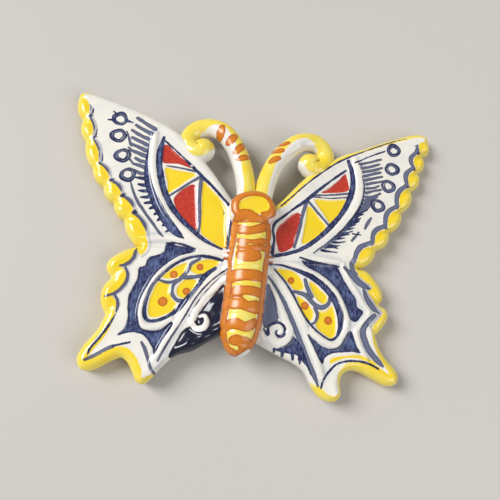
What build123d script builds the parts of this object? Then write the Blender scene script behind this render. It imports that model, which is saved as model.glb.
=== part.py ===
"""Butterfly ornament in glazed earthenware: a round body with a block head, two pairs of wings and curled antennae.

The wings are slabs that droop from the body to the table like a low roof. Their edges are rolled over, their
outer margins are lobed, and their faces hold raised lines with pools of coloured enamel in the hollows between.
Millimetres. +X is the butterfly's right as it is looked down on, +Y is towards the head, +Z is up from the table.
"""
import os
from math import asin, atan2, cos, degrees, radians, sin

from build123d import *

# Wing slabs
ROOF_ANGLE = 5.0
WING_THICKNESS = 8.0
EDGE_ROLL = 3.2
FOOT_DEPTH = 1.8
BACK_WALL = 4.5
BACK_CORNER = 4.0
FORE_BACK = [(14.0, 8.0), (20.0, 20.0), (34.0, 35.0), (62.0, 49.0), (58.0, 26.0), (42.0, 1.5), (14.0, -2.6)]
HIND_BACK = [(14.0, -12.0), (38.0, -10.5), (44.0, -30.0), (30.0, -40.0), (14.0, -36.0)]

# Forewing outline, right side
ROOT_DEPTH = 4.5
FORE_ROOT = (ROOT_DEPTH, 11.5)
FORE_LEAD = [(10.4, 18.0), (20.7, 30.2), (34.5, 42.8), (52.8, 51.6)]
FORE_TIP = (73.6, 58.2)
FORE_MARGIN = (65.8, 27.0)
NOTCH = (43.8, -5.3)
SEAM_MID = (22.0, -6.6)
SEAM_ROOT = (ROOT_DEPTH, -8.4)
FORE_LOBES = 6
LOBE_GROWTH_SHARE = 0.12
LOBE_BULGE = 1.7
TIP_ROUND = 3.4
VALLEY_ROUND = 1.0

# Hindwing outline, right side
HIND_VALLEYS = [(53.0, -18.5), (51.8, -32.5)]
HIND_LOBE_BULGE = 3.0
TAIL_CORNER = (67.2, -56.5)
TAIL_ROUND = 3.8
TAIL_SWEEP = -2.2
TAIL_VALLEY = (41.2, -46.0)
TAIL_VALLEY_ROUND = 3.0
SECOND_TAIL_CORNER = (38.6, -64.6)
SECOND_TAIL_ROUND = 3.6
WAIST = (23.0, -44.8)
WAIST_ROUND = 4.0
INNER_LOBE_END = (ROOT_DEPTH, -37.4)
INNER_LOBE_BULGE = 2.4

# Rim beads and the painted line beside them
RIM_WAIST = 2.4
RIM_BELLY = 2.6
TAIL_POINT = (55.0, -46.0)
VALLEY_POINT = (37.4, -42.4)
SECOND_POINT = (30.8, -52.4)
SCALLOP_LINE = 1.3
FORE_LINE_SPAN = (1.0, 54.0)
HIND_LINE_SPAN = (-41.0, -9.0)

# Enamel
POOL_DEPTH = 0.8
ENAMEL = 0.5
LINE_WIDTH = 2.0
DIVIDER_WIDTH = 1.4

# Forewing cell
CELL_TOP = (38.3, 38.6)
CELL_SHOULDER = (39.9, 28.6)
CELL_WAIST = (35.5, 16.0)
CELL_HIP = (26.2, 4.6)
CELL_BOTTOM = (10.8, -4.6)
CELL_INNER = [(10.4, 8.0), (12.2, 13.2)]
DIVIDER_HUB = (22.0, 22.6)
DIVIDER_ENDS = [(39.2, 26.2), (32.6, 12.0), (19.6, -0.6)]

# Panel colours from the wing tip to the root
PANEL_COLOURS = {"left": ["red", "yellow", "red", "yellow"], "right": ["red", "yellow", "yellow", "red"]}

# Forewing fringe and rings
FRINGE_ROOT = [(41.4, 40.0), (44.6, 30.5), (43.4, 20.5), (38.6, 12.0), (26.0, -2.6)]
FRINGE_SWELL = [(46.4, 30.5), (45.6, 20.0), (40.4, 11.2)]
FRINGE_STROKES = 15
STROKE_LENGTH = 4.4
STROKE_WIDTH = 0.9
RING_SHARES = [0.2, 0.33, 0.46, 0.59]
RING_RADIUS = 3.0
RING_WIDTH = 1.0
RING_CLEARANCE = 0.8

# Hindwing cell, field and rib
LEAF_TIP = (10.4, -10.0)
LEAF_BROW = (20.4, -9.8)
LEAF_SHOULDER = (29.6, -14.0)
LEAF_CHEEK = (35.6, -21.6)
LEAF_END = (37.4, -31.0)
LEAF_HEEL = (33.6, -34.6)
LEAF_LOWER = (21.4, -25.2)
LEAF_DIVIDERS = [[(18.6, -8.0), (21.6, -17.4), (14.6, -19.0)], [(21.6, -17.4), (29.2, -21.6)],
                 [(36.4, -19.0), (29.2, -21.6), (25.6, -31.0)]]
DOT_CENTRES = [(16.6, -13.0), (26.4, -16.0), (22.6, -22.4), (32.4, -27.2)]
DOT_RADII = [1.5, 1.6, 1.6, 2.1]
DOTS_SHOWN = {"left": [0, 1, 2, 3], "right": [0, 2, 3]}
DOT_HEIGHT = 0.3
DAB_SEAT = 0.02
FIELD_CUSPS = [(22.0, -7.8), (33.0, -8.6), (41.6, -14.2), (44.2, -25.0), (45.6, -39.4), (31.4, -44.6)]
FIELD_BOWS = [0.4, -1.2, -1.4, -1.4, -1.6]
FIELD_INNER = [(26.8, -35.6), (34.2, -38.8), (40.2, -34.4), (40.6, -26.0), (37.4, -18.4), (30.6, -11.6)]
RIB_TOP = (9.4, -13.4)
RIB_FOOT = (29.4, -50.4)
RIB_WIDTH = 3.2
INNER_FIELD = [(9.4, -17.0), (24.2, -42.6), (17.4, -40.6), (10.0, -36.4)]
CURL_CENTRE = (14.6, -32.6)
CURL_RADII = [4.2, 3.0, 2.0]
CURL_STROKE = 1.5

# Body and head
BODY_RADIUS = 8.0
BODY_AXIS_HEIGHT = 12.0
BODY_FRONT = 5.0
BODY_TAIL = -44.8
BODY_SHOULDER = -10.0
BODY_WAIST = -29.0
BODY_WAIST_RADIUS = 7.4
TAIL_END_RADIUS = 5.4
TAIL_END_LENGTH = 3.2
BAND_PAIRS = 8
BAND_SHARE = 0.58
BAND_SPREAD = 6.4
HEAD_WIDTH = 17.6
HEAD_LENGTH = 13.2
HEAD_CHIN = 0.4
HEAD_ROUND = 2.6
PATCH_LENGTH = 4.6
PATCH_WIDTH = 9.0
PATCH_ROUND = 1.4
FRAME_WIDTH = 1.5

# Antennae
ANTENNA_RADIUS = 3.5
ANTENNA_ROOT_X = 4.6
ANTENNA_LEVEL = 5.4
SWEEP_RADIUS = 30.6
SWEEP_ANGLE = 56.0
CURL_TURN_RADIUS = 7.0
CURL_TURN_ANGLE = 125.0
KNOB_RADIUS = 4.6
DAB_SPOTS = [0.34, 0.44, 0.54, 0.64]
DAB_RADIUS = 2.0

# The part reaches this far past every outline that is used to trim it
MARGIN = 20.0

HEAD_FRONT = BODY_FRONT + HEAD_LENGTH
TIP_REACH = FORE_TIP[0] + LOBE_BULGE
AXIS_UNDERSIDE = TIP_REACH * sin(radians(ROOF_ANGLE)) - FOOT_DEPTH
ENAMEL_FLOOR = WING_THICKNESS - POOL_DEPTH


def place_wing(shape):
    """Tilt a right-hand wing piece from its own flat plane to the roof slope, above the table."""
    return Pos(0, 0, AXIS_UNDERSIDE) * (Rot(0, ROOF_ANGLE, 0) * shape)


def side_normal(start, end):
    """Unit normal on the left of the way from one point to another."""
    run = Vector(*end) - Vector(*start)
    return Vector(-run.Y, run.X).normalized()


def flat_point(vector):
    """The x and y of a vector."""
    return (vector.X, vector.Y)


def bowed(start, end, bulge):
    """Arc between two points that bows to the left of the way by the given height."""
    middle = (Vector(*start) + Vector(*end)) * 0.5 + side_normal(start, end) * bulge
    return ThreePointArc(start, flat_point(middle), end)


def inset_points(points, inset):
    """Points moved to the right of the way along them, by the mean normal at each point."""
    moved = []
    for place, point in enumerate(points):
        before = points[max(place - 1, 0)]
        after = points[min(place + 1, len(points) - 1)]
        moved.append(flat_point(Vector(*point) - side_normal(before, after) * inset))
    return moved


def lobes(points, bulge):
    """Row of bowed arcs through the points."""
    return [bowed(start, end, bulge) for start, end in zip(points, points[1:])]


def wedge(points):
    """Closed flat face through straight runs."""
    return make_face(Polyline(*points, close=True))


def prism(face, floor, height):
    """Upright solid on a flat face, between two levels of the wing's own plane."""
    return extrude(Pos(0, 0, floor) * face, amount=height, dir=(0, 0, 1))


def enamel(face):
    """Pool of enamel on the floor of its hollow."""
    return prism(face, ENAMEL_FLOOR, ENAMEL)


def hollow(face):
    """Space that a pool and the air above it take out of the wing."""
    return prism(face, ENAMEL_FLOOR, WING_THICKNESS)


def rolled_slab(outer, inner):
    """Slab whose outer edges are rolled over; the inner edges stay square inside the body."""
    slab = prism(make_face(outer + inner), 0, WING_THICKNESS)
    rim = Wire(outer)
    top = slab.edges().filter_by_position(Axis.Z, WING_THICKNESS, WING_THICKNESS)
    rolled = [edge for edge in top if rim.distance_to(edge @ 0.5 - Vector(0, 0, WING_THICKNESS)) < 0.01]
    return fillet(rolled, EDGE_ROLL)


def fore_margin():
    """Even arc that the forewing margin follows, from the tip to the notch."""
    return ThreePointArc(FORE_TIP, FORE_MARGIN, NOTCH)


def fore_margin_points():
    """Valleys of the forewing margin, from the tip to the notch, with each lobe longer than the last."""
    margin = fore_margin()
    growth = 1 + LOBE_GROWTH_SHARE
    shares = [(growth ** count - 1) / (growth ** FORE_LOBES - 1) for count in range(FORE_LOBES + 1)]
    return [flat_point(margin @ share) for share in shares]


def rounded_corners(edges, radii):
    """The same row of edges with each corner between two of them rounded to its own radius."""
    wire = Wire(edges)
    for edge, radius in zip(edges, radii):
        corner = sorted(wire.vertices(), key=lambda vertex: (Vector(vertex) - edge @ 1).length)[0]
        wire = wire.fillet_2d(radius, [corner])
    return list(wire.edges())


def wing_slab():
    """Both right wings in one slab, before they are parted along the seam."""
    hind_points = [NOTCH] + HIND_VALLEYS
    outer = [Spline(FORE_ROOT, *FORE_LEAD, FORE_TIP)]
    outer += lobes(fore_margin_points(), LOBE_BULGE)
    outer += lobes(hind_points, HIND_LOBE_BULGE)
    outer.append(bowed(hind_points[-1], TAIL_CORNER, TAIL_SWEEP))
    outer.append(Line(TAIL_CORNER, TAIL_VALLEY))
    outer.append(Line(TAIL_VALLEY, SECOND_TAIL_CORNER))
    outer.append(Line(SECOND_TAIL_CORNER, WAIST))
    outer.append(bowed(WAIST, INNER_LOBE_END, INNER_LOBE_BULGE))
    valleys = [VALLEY_ROUND] * (FORE_LOBES + len(HIND_VALLEYS))
    radii = [TIP_ROUND] + valleys + [TAIL_ROUND, TAIL_VALLEY_ROUND, SECOND_TAIL_ROUND, WAIST_ROUND]
    return rolled_slab(rounded_corners(outer, radii), [Line(INNER_LOBE_END, FORE_ROOT)])


def fore_half():
    """Everything on the forewing's side of the seam."""
    past_notch = (NOTCH[0] + 2 * MARGIN, NOTCH[1])
    high = FORE_TIP[1] + MARGIN
    corner = (FORE_TIP[0] + MARGIN, high)
    face = wedge([(-MARGIN, SEAM_ROOT[1]), SEAM_ROOT, SEAM_MID, NOTCH, past_notch, corner, (-MARGIN, high)])
    return prism(face, -WING_THICKNESS, 3 * WING_THICKNESS)


def fore_face(inset):
    """Forewing face inside the beads of the rim, open past every other edge."""
    beads = inset_points(fore_margin_points(), RIM_WAIST + inset)
    row = lobes(beads, -RIM_BELLY)
    past_tip = (beads[0][0] - MARGIN / 4, beads[0][1] + MARGIN)
    past_notch = (beads[-1][0] - MARGIN / 4, beads[-1][1] - MARGIN)
    far_low = (-MARGIN, past_notch[1])
    far_high = (-MARGIN, past_tip[1])
    runs = Polyline(beads[-1], past_notch, far_low, far_high, past_tip, beads[0])
    return make_face(row + [runs])


def hind_face(inset):
    """Hindwing face inside its rim: two beads, then a point into each tail, open past every other edge."""
    points = inset_points([NOTCH] + HIND_VALLEYS, RIM_WAIST + inset)
    row = lobes(points, -RIM_BELLY)
    tail_point = (TAIL_POINT[0] - inset, TAIL_POINT[1] + inset)
    valley_point = (VALLEY_POINT[0] - inset, VALLEY_POINT[1] + inset)
    second_point = (SECOND_POINT[0] - inset / 2, SECOND_POINT[1] + inset)
    row.append(bowed(points[-1], tail_point, TAIL_SWEEP / 2))
    row.append(Line(tail_point, valley_point))
    row.append(Line(valley_point, second_point))
    past_tail = (second_point[0] - MARGIN, second_point[1] - MARGIN)
    past_notch = (points[0][0] - MARGIN / 4, points[0][1] + MARGIN)
    runs = Polyline(second_point, past_tail, (-MARGIN, past_tail[1]), (-MARGIN, past_notch[1]), past_notch, points[0])
    return make_face(row + [runs])


def cell_face():
    """Fan-shaped cell of the forewing."""
    outer = ThreePointArc(CELL_TOP, CELL_SHOULDER, CELL_WAIST)
    lower = ThreePointArc(CELL_WAIST, CELL_HIP, CELL_BOTTOM)
    return make_face([outer, lower, Polyline(CELL_BOTTOM, *CELL_INNER, CELL_TOP)])


def cell_pools():
    """Four fan panels of the forewing cell, from the tip to the root."""
    panels = offset(cell_face(), -LINE_WIDTH)
    for end in DIVIDER_ENDS:
        panels -= trace(Line(DIVIDER_HUB, end), DIVIDER_WIDTH)
        panels -= Pos(*end) * Circle(LINE_WIDTH)
    panels -= Pos(*DIVIDER_HUB) * Circle(LINE_WIDTH)
    hub = Vector(*DIVIDER_HUB)
    return sorted(panels.faces(), key=lambda face: -atan2((face.center() - hub).Y, (face.center() - hub).X))


def fringe_face():
    """Comb of strokes on a crescent outside the cell's raised line."""
    root = Spline(*FRINGE_ROOT)
    swell = Spline(FRINGE_ROOT[0], *FRINGE_SWELL, FRINGE_ROOT[-1])
    comb = make_face([root, swell])
    for count in range(FRINGE_STROKES):
        share = (count + 0.6) / (FRINGE_STROKES + 0.2)
        foot = swell @ share
        way = swell % share
        angle = degrees(atan2(way.X, -way.Y))
        reach = STROKE_LENGTH * (0.55 + 0.45 * cos(radians(70 * (share - 0.35))))
        stroke = Rectangle(reach, STROKE_WIDTH, align=(Align.MIN, Align.CENTER))
        comb += Pos(foot.X, foot.Y) * Rot(0, 0, angle) * Pos(-STROKE_WIDTH, 0) * stroke
    return comb


def ring_faces():
    """Row of rings between the fringe and the margin."""
    ring = Circle(RING_RADIUS) - Circle(RING_RADIUS - RING_WIDTH)
    margin = fore_margin()
    inset = RIM_WAIST + RIM_BELLY + SCALLOP_LINE + RING_CLEARANCE + RING_RADIUS
    rings = []
    for share in RING_SHARES:
        way = margin % share
        centre = margin @ share + Vector(way.Y, -way.X) * inset
        rings.append(Pos(centre.X, centre.Y) * ring)
    return Sketch() + rings


def leaf_face():
    """Leaf-shaped cell of the hindwing."""
    brow = ThreePointArc(LEAF_TIP, LEAF_BROW, LEAF_SHOULDER)
    cheek = ThreePointArc(LEAF_SHOULDER, LEAF_CHEEK, LEAF_END)
    heel = bowed(LEAF_END, LEAF_HEEL, LINE_WIDTH / 2)
    lower = ThreePointArc(LEAF_HEEL, LEAF_LOWER, LEAF_TIP)
    return make_face([brow, cheek, heel, lower])


def leaf_pools():
    """Four panels of the leaf cell."""
    panels = offset(leaf_face(), -LINE_WIDTH * 0.6)
    for route in LEAF_DIVIDERS:
        panels -= trace(Polyline(*route), DIVIDER_WIDTH)
    return panels


def field_face():
    """Ground round the leaf cell, out to the raised line behind the rim."""
    outer = [bowed(*run) for run in zip(FIELD_CUSPS, FIELD_CUSPS[1:], FIELD_BOWS)]
    heel_side, heel, cheek_low, cheek, cheek_high, brow = FIELD_INNER
    inner = [
        Line(FIELD_CUSPS[-1], heel_side),
        ThreePointArc(heel_side, heel, cheek_low),
        ThreePointArc(cheek_low, cheek, cheek_high),
        ThreePointArc(cheek_high, brow, FIELD_CUSPS[0]),
    ]
    return make_face(outer + inner)


def rib_face():
    """Straight raised rib from the body to the second tail."""
    return trace(Line(RIB_TOP, RIB_FOOT), RIB_WIDTH)


def curl_face():
    """Raised curl in the inner field, in half turns that tighten."""
    turns = []
    centre = Vector(*CURL_CENTRE)
    side = 1
    start = centre + Vector(CURL_RADII[0], 0)
    for radius in CURL_RADII:
        end = start - Vector(2 * radius * side, 0)
        middle = (start + end) * 0.5 + Vector(0, -radius * side)
        turns.append(ThreePointArc(flat_point(start), flat_point(middle), flat_point(end)))
        start = end
        side = -side
    return trace(turns, CURL_STROKE)


def inner_field_face():
    """Ground between the rib and the body, round the curl."""
    return wedge(INNER_FIELD) - rib_face() - curl_face()


def scallop_face(face_at, span):
    """Painted line beside the rim, cut off square where the beads end."""
    low, high = span
    inner = VALLEY_POINT[0]
    outer = TIP_REACH + MARGIN
    trim = wedge([(inner, low), (outer, low), (outer, high), (inner, high)])
    return (face_at(0) - face_at(SCALLOP_LINE)) & trim


def back_hollow(points):
    """Shallow hollow in the back of a wing."""
    face = wedge(points)
    rounded = fillet(face.vertices(), BACK_CORNER)
    return prism(rounded, -WING_THICKNESS, 2 * WING_THICKNESS - BACK_WALL)


def body_profile(grow):
    """Half outline of the trunk, turned about its long axis; grow adds a skin."""
    cap_radius = (TAIL_END_RADIUS ** 2 + TAIL_END_LENGTH ** 2) / (2 * TAIL_END_LENGTH)
    cap_centre = BODY_TAIL + cap_radius
    cap_angle = asin(TAIL_END_RADIUS / cap_radius)

    def cap_point(angle):
        reach = cap_radius + grow
        return (reach * sin(angle), cap_centre - reach * cos(angle))

    front = (BODY_RADIUS + grow, BODY_FRONT)
    shoulder = (BODY_RADIUS + grow, BODY_SHOULDER)
    waist = (BODY_WAIST_RADIUS + grow, BODY_WAIST)
    tail_start = cap_point(cap_angle)
    tail_end = (0, cap_point(0)[1])
    flank = ThreePointArc(shoulder, waist, tail_start)
    cap = ThreePointArc(tail_start, cap_point(cap_angle / 2), tail_end)
    lines = [Line((0, BODY_FRONT), front), Line(front, shoulder), flank, cap, Line(tail_end, (0, BODY_FRONT))]
    return make_face(lines)


def trunk(grow):
    """Round trunk, with an added skin if grow is more than nothing."""
    return Pos(0, 0, BODY_AXIS_HEIGHT) * revolve(body_profile(grow), Axis.Y)


def body_bands(body, first):
    """Every second band of enamel over the back of the trunk."""
    skin = trunk(ENAMEL) - body
    pitch = (BODY_FRONT - BODY_TAIL - TAIL_END_RADIUS) / BAND_PAIRS
    orange = pitch * BAND_SHARE
    bands = []
    for pair in range(BAND_PAIRS):
        top = BODY_FRONT - pair * pitch - (0 if first else orange)
        depth = orange if first else pitch - orange
        cutter = Box(2 * BAND_SPREAD, depth, 4 * BODY_RADIUS, align=(Align.CENTER, Align.MAX, Align.MIN))
        bands += (skin & Pos(0, top, BODY_AXIS_HEIGHT) * cutter).solids()
    return Compound(bands)


def head_block():
    """Rounded block at the front of the trunk, with a hollow for its enamel."""
    level = BODY_AXIS_HEIGHT + BODY_RADIUS
    height = 2 * BODY_RADIUS + HEAD_CHIN
    block = Pos(0, BODY_FRONT, level) * Box(
        HEAD_WIDTH, HEAD_LENGTH, height, align=(Align.CENTER, Align.MIN, Align.MAX))
    edges = block.edges().filter_by(Axis.Z) + block.edges().group_by(Axis.Z)[-1]
    return fillet(edges, HEAD_ROUND), level


def head_faces():
    """Face patch and the frame round it."""
    middle = Pos(0, BODY_FRONT + HEAD_LENGTH / 2)
    patch = middle * RectangleRounded(PATCH_WIDTH, PATCH_LENGTH, PATCH_ROUND)
    grown = middle * RectangleRounded(
        PATCH_WIDTH + 2 * FRAME_WIDTH, PATCH_LENGTH + 2 * FRAME_WIDTH, PATCH_ROUND + FRAME_WIDTH)
    return patch, grown - patch


def antenna_path():
    """Centre line of an antenna in the wing's own plane: a long sweep, then the turn of the curl."""
    root = (ANTENNA_ROOT_X, HEAD_FRONT, ANTENNA_LEVEL)
    rise = JernArc(root, (0, 1, 0), SWEEP_RADIUS, -SWEEP_ANGLE)
    turn = JernArc(rise @ 1, rise % 1, CURL_TURN_RADIUS, -CURL_TURN_ANGLE)
    return rise, turn


def antenna_horn(radius):
    """Round horn along the antenna's centre line."""
    rise, turn = antenna_path()
    start = Plane(origin=rise @ 0, z_dir=rise % 0)
    return sweep(start * Circle(radius), path=Wire([rise, turn]))


def knob_centre():
    """Middle of the curl."""
    turn = antenna_path()[1]
    way = turn % 0
    return turn @ 0 + Vector(way.Y, -way.X, 0) * CURL_TURN_RADIUS


def antenna_dabs():
    """Brush dabs of enamel across the top of the horn."""
    skin = antenna_horn(ANTENNA_RADIUS + DOT_HEIGHT) - antenna_horn(ANTENNA_RADIUS + DAB_SEAT)
    path = Wire(list(antenna_path()))
    dabs = []
    for spot in DAB_SPOTS:
        top = path @ spot + Vector(0, 0, ANTENNA_RADIUS)
        dabs += (skin & Pos(*top) * Sphere(DAB_RADIUS)).solids()
    return Compound(dabs)


def above_table(shape):
    """The shape with everything below the table cut away, so that it stands on flat feet."""
    reach = 4 * TIP_REACH
    return shape - Pos(0, 0, -WING_THICKNESS / 2) * Box(reach, reach, WING_THICKNESS)


def build_side(slab, body, head):
    """All pieces of the right side, by name, in their own places."""
    trim = body + head
    cell = cell_face()
    pools = cell_pools()
    lines = cell - pools
    fringe = fringe_face()
    rings = ring_faces()
    leaf = leaf_face()
    panels = leaf_pools()
    field = field_face() - rib_face()
    inner_field = inner_field_face()
    fore_band = scallop_face(fore_face, FORE_LINE_SPAN)
    hind_band = scallop_face(hind_face, HIND_LINE_SPAN)

    fore = slab & fore_half()
    fore_inside = prism(fore_face(0), -WING_THICKNESS, 3 * WING_THICKNESS)
    fore_core = fore & fore_inside
    fore_rim = fore - fore_inside
    for face in (cell, fringe, rings, fore_band):
        fore_core -= hollow(face)
    fore_core -= back_hollow(FORE_BACK)

    hind = slab - fore_half()
    hind_inside = prism(hind_face(0), -WING_THICKNESS, 3 * WING_THICKNESS)
    hind_core = hind & hind_inside
    hind_rim = hind - hind_inside
    for face in (leaf, field, inner_field, hind_band):
        hind_core -= hollow(face)
    hind_core -= back_hollow(HIND_BACK)

    dots = [Pos(*centre) * Circle(radius) for centre, radius in zip(DOT_CENTRES, DOT_RADII)]
    dot_solids = [prism(dot, ENAMEL_FLOOR + ENAMEL, DOT_HEIGHT) for dot in dots]

    horn = antenna_horn(ANTENNA_RADIUS) + Pos(*knob_centre()) * Rot(0, 0, SWEEP_ANGLE) * Sphere(KNOB_RADIUS)
    pieces = {
        "forewing": above_table(place_wing(fore_core) - trim),
        "forewing_rim": above_table(place_wing(fore_rim)),
        "forewing_cell_lines": place_wing(enamel(lines)),
        "forewing_panels": [place_wing(enamel(pool)) for pool in pools],
        "forewing_fringe": place_wing(enamel(fringe)),
        "forewing_rings": place_wing(enamel(rings)),
        "forewing_scallop_line": place_wing(enamel(fore_band)),
        "hindwing": above_table(place_wing(hind_core) - trim),
        "hindwing_rim": above_table(place_wing(hind_rim)),
        "hindwing_cell_lines": place_wing(enamel(leaf - panels)),
        "hindwing_yellow_pools": place_wing(enamel(panels)),
        "hindwing_field": place_wing(enamel(field)),
        "hindwing_inner_field": place_wing(enamel(inner_field)),
        "hindwing_scallop_line": place_wing(enamel(hind_band)),
        "hindwing_dots": [place_wing(dot) for dot in dot_solids],
        "antenna": place_wing(horn - fore) - trim,
        "antenna_dabs": place_wing(antenna_dabs()),
    }
    return pieces


def painted(pieces, side):
    """Pieces of one side, with its panels sorted by colour and its own choice of dots."""
    chosen = dict(pieces)
    panels = chosen.pop("forewing_panels")
    for colour in ("red", "yellow"):
        kept = [panel for panel, paint in zip(panels, PANEL_COLOURS[side]) if paint == colour]
        chosen[f"forewing_{colour}_pools"] = Compound(kept)
    dots = chosen.pop("hindwing_dots")
    chosen["hindwing_dots"] = Compound([dots[place] for place in DOTS_SHOWN[side]])
    return chosen


def save(shape, name, shift):
    """Write one named piece, moved so that the origin lies under the middle of the wings."""
    export_step(Pos(0, shift, 0) * shape, f"parts/{name}.step")


def main():
    os.makedirs("parts", exist_ok=True)
    body = trunk(0)
    head, level = head_block()
    patch, frame = head_faces()
    head -= extrude(Pos(0, 0, level - POOL_DEPTH) * (patch + frame), amount=2 * POOL_DEPTH)
    slab = wing_slab()
    shift = -slab.bounding_box().center().Y
    save(body, "body", shift)
    save(head, "head", shift)
    save(extrude(Pos(0, 0, level - POOL_DEPTH) * patch, amount=ENAMEL), "head_patch", shift)
    save(extrude(Pos(0, 0, level - POOL_DEPTH) * frame, amount=ENAMEL), "head_frame", shift)
    save(body_bands(body, True), "body_orange_bands", shift)
    save(body_bands(body, False), "body_yellow_bands", shift)
    pieces = build_side(slab, body, head)
    for side in ("left", "right"):
        for name, shape in painted(pieces, side).items():
            save(mirror(shape, about=Plane.YZ) if side == "left" else shape, f"{side}_{name}", shift)


main()
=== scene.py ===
"""Painted and glazed surfaces of a butterfly ornament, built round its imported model.

Wing, body and antenna shapes are worked out in millimetres over the plan of the ornament, with x counted
outwards from the body, and are then set in the model's own frame in metres. Paint is kept on the surface as
the distance to each paint's edge, negative inside.
"""

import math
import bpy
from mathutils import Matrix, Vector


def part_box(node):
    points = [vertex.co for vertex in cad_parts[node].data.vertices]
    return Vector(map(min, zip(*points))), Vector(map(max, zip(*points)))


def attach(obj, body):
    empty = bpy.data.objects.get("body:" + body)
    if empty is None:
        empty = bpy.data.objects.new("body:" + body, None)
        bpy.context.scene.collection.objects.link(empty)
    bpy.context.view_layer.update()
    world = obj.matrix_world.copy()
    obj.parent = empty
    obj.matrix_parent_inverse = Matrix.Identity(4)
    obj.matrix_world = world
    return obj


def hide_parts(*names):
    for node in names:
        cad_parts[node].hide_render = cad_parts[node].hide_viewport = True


bl_info = {
    "name": "Glazed butterfly ornament",
    "version": (1, 0, 0),
    "blender": (4, 5, 0),
    "location": "3D View > Sidebar > Butterfly",
    "description": "Builds the glazed and painted surfaces of a butterfly ornament round its packed model",
    "category": "Object",
}

import bpy
import numpy as np
from bpy.props import FloatProperty, FloatVectorProperty, PointerProperty
from mathutils import Matrix, Vector
from mathutils.geometry import delaunay_2d_cdt
from mathutils.kdtree import KDTree

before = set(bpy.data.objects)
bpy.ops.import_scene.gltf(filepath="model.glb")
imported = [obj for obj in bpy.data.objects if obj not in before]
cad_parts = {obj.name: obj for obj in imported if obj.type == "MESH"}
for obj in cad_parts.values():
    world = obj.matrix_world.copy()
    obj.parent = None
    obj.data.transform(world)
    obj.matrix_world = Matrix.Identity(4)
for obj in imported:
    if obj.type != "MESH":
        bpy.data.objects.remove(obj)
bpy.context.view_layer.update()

MM = 0.001
BODY_FRONT = 5.0
PLAN_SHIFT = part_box("body")[1].y / MM - BODY_FRONT
SIDES = {"left": -1.0, "right": 1.0}
FAR = 4.0

# Outlines in plan, from the root along the leading edge to the tip
LEAD = {
    "left": [(4.5, 11.5), (8.9, 17.3), (19.6, 30.8), (32.5, 43.6), (42.6, 48.8), (53.2, 53.0), (62.1, 55.8),
             (68.4, 57.6), (72.4, 58.5), (74.6, 57.6), (75.1, 55.3)],
    "right": [(4.5, 11.5), (11.0, 17.5), (21.6, 30.2), (36.0, 41.9), (43.7, 45.6), (52.4, 50.1),
              (61.2, 54.3), (68.2, 57.2), (72.3, 57.9), (75.2, 56.6), (75.7, 53.9)],
}
# Valleys between the lobes of the forewing margin, down to the notch
FORE_VALLEYS = {
    "left": [(75.1, 55.3), (72.1, 45.8), (69.3, 36.2), (64.9, 25.0), (59.4, 17.4), (54.4, 11.0),
             (49.4, 4.4), (43.2, -5.6)],
    "right": [(75.7, 53.9), (72.6, 47.6), (71.0, 39.5), (67.7, 30.8), (63.3, 20.6), (57.9, 11.0),
              (52.2, 2.8), (44.6, -5.6)],
}
FORE_BULGE = {"left": 1.25, "right": 2.0}
CREASE_SHARE = {"left": 0.5, "right": 1.0}
# Lobes of the hindwing, then its tails and inner lobe
HIND_LOBES = {
    "left": [[(43.2, -5.6), (48.8, -8.4), (53.0, -12.2), (53.4, -15.6), (51.2, -18.7)],
             [(51.2, -18.7), (53.4, -22.0), (54.1, -25.6), (53.4, -29.2), (51.4, -32.9)]],
    "right": [[(44.6, -5.6), (48.6, -6.7), (52.0, -9.9), (54.6, -13.8), (55.1, -16.8), (53.8, -19.3)],
              [(53.8, -19.3), (56.4, -20.9), (57.5, -23.4), (56.2, -26.9), (52.5, -31.6)]],
}
TAILS = {
    "left": [(51.4, -32.9), (53.3, -38.3), (57.9, -45.2), (59.3, -49.6), (57.6, -53.0), (54.2, -53.5),
             (51.2, -52.2), (46.4, -49.2), (43.3, -48.0), (41.0, -49.4), (38.7, -52.9), (36.8, -56.0),
             (34.4, -56.8), (31.6, -54.6), (28.1, -50.0), (24.0, -46.0), (17.6, -43.6), (12.4, -40.2),
             (8.0, -37.6), (4.5, -36.8)],
    "right": [(52.5, -31.6), (53.4, -35.2), (56.4, -39.9), (60.5, -43.9), (61.8, -46.9), (60.6, -49.7),
              (57.2, -50.5), (50.8, -48.0), (45.8, -46.1), (41.9, -46.0), (39.2, -47.9), (38.5, -51.2),
              (39.0, -54.6), (37.6, -57.1), (34.6, -57.9), (31.0, -56.7), (28.0, -53.6), (24.4, -47.9),
              (20.0, -45.0), (12.9, -42.2), (7.9, -40.0), (4.5, -38.4)],
}
SEAM = [(4.5, -8.4), (12.0, -7.5), (22.0, -6.6), (33.0, -6.1)]

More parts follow.
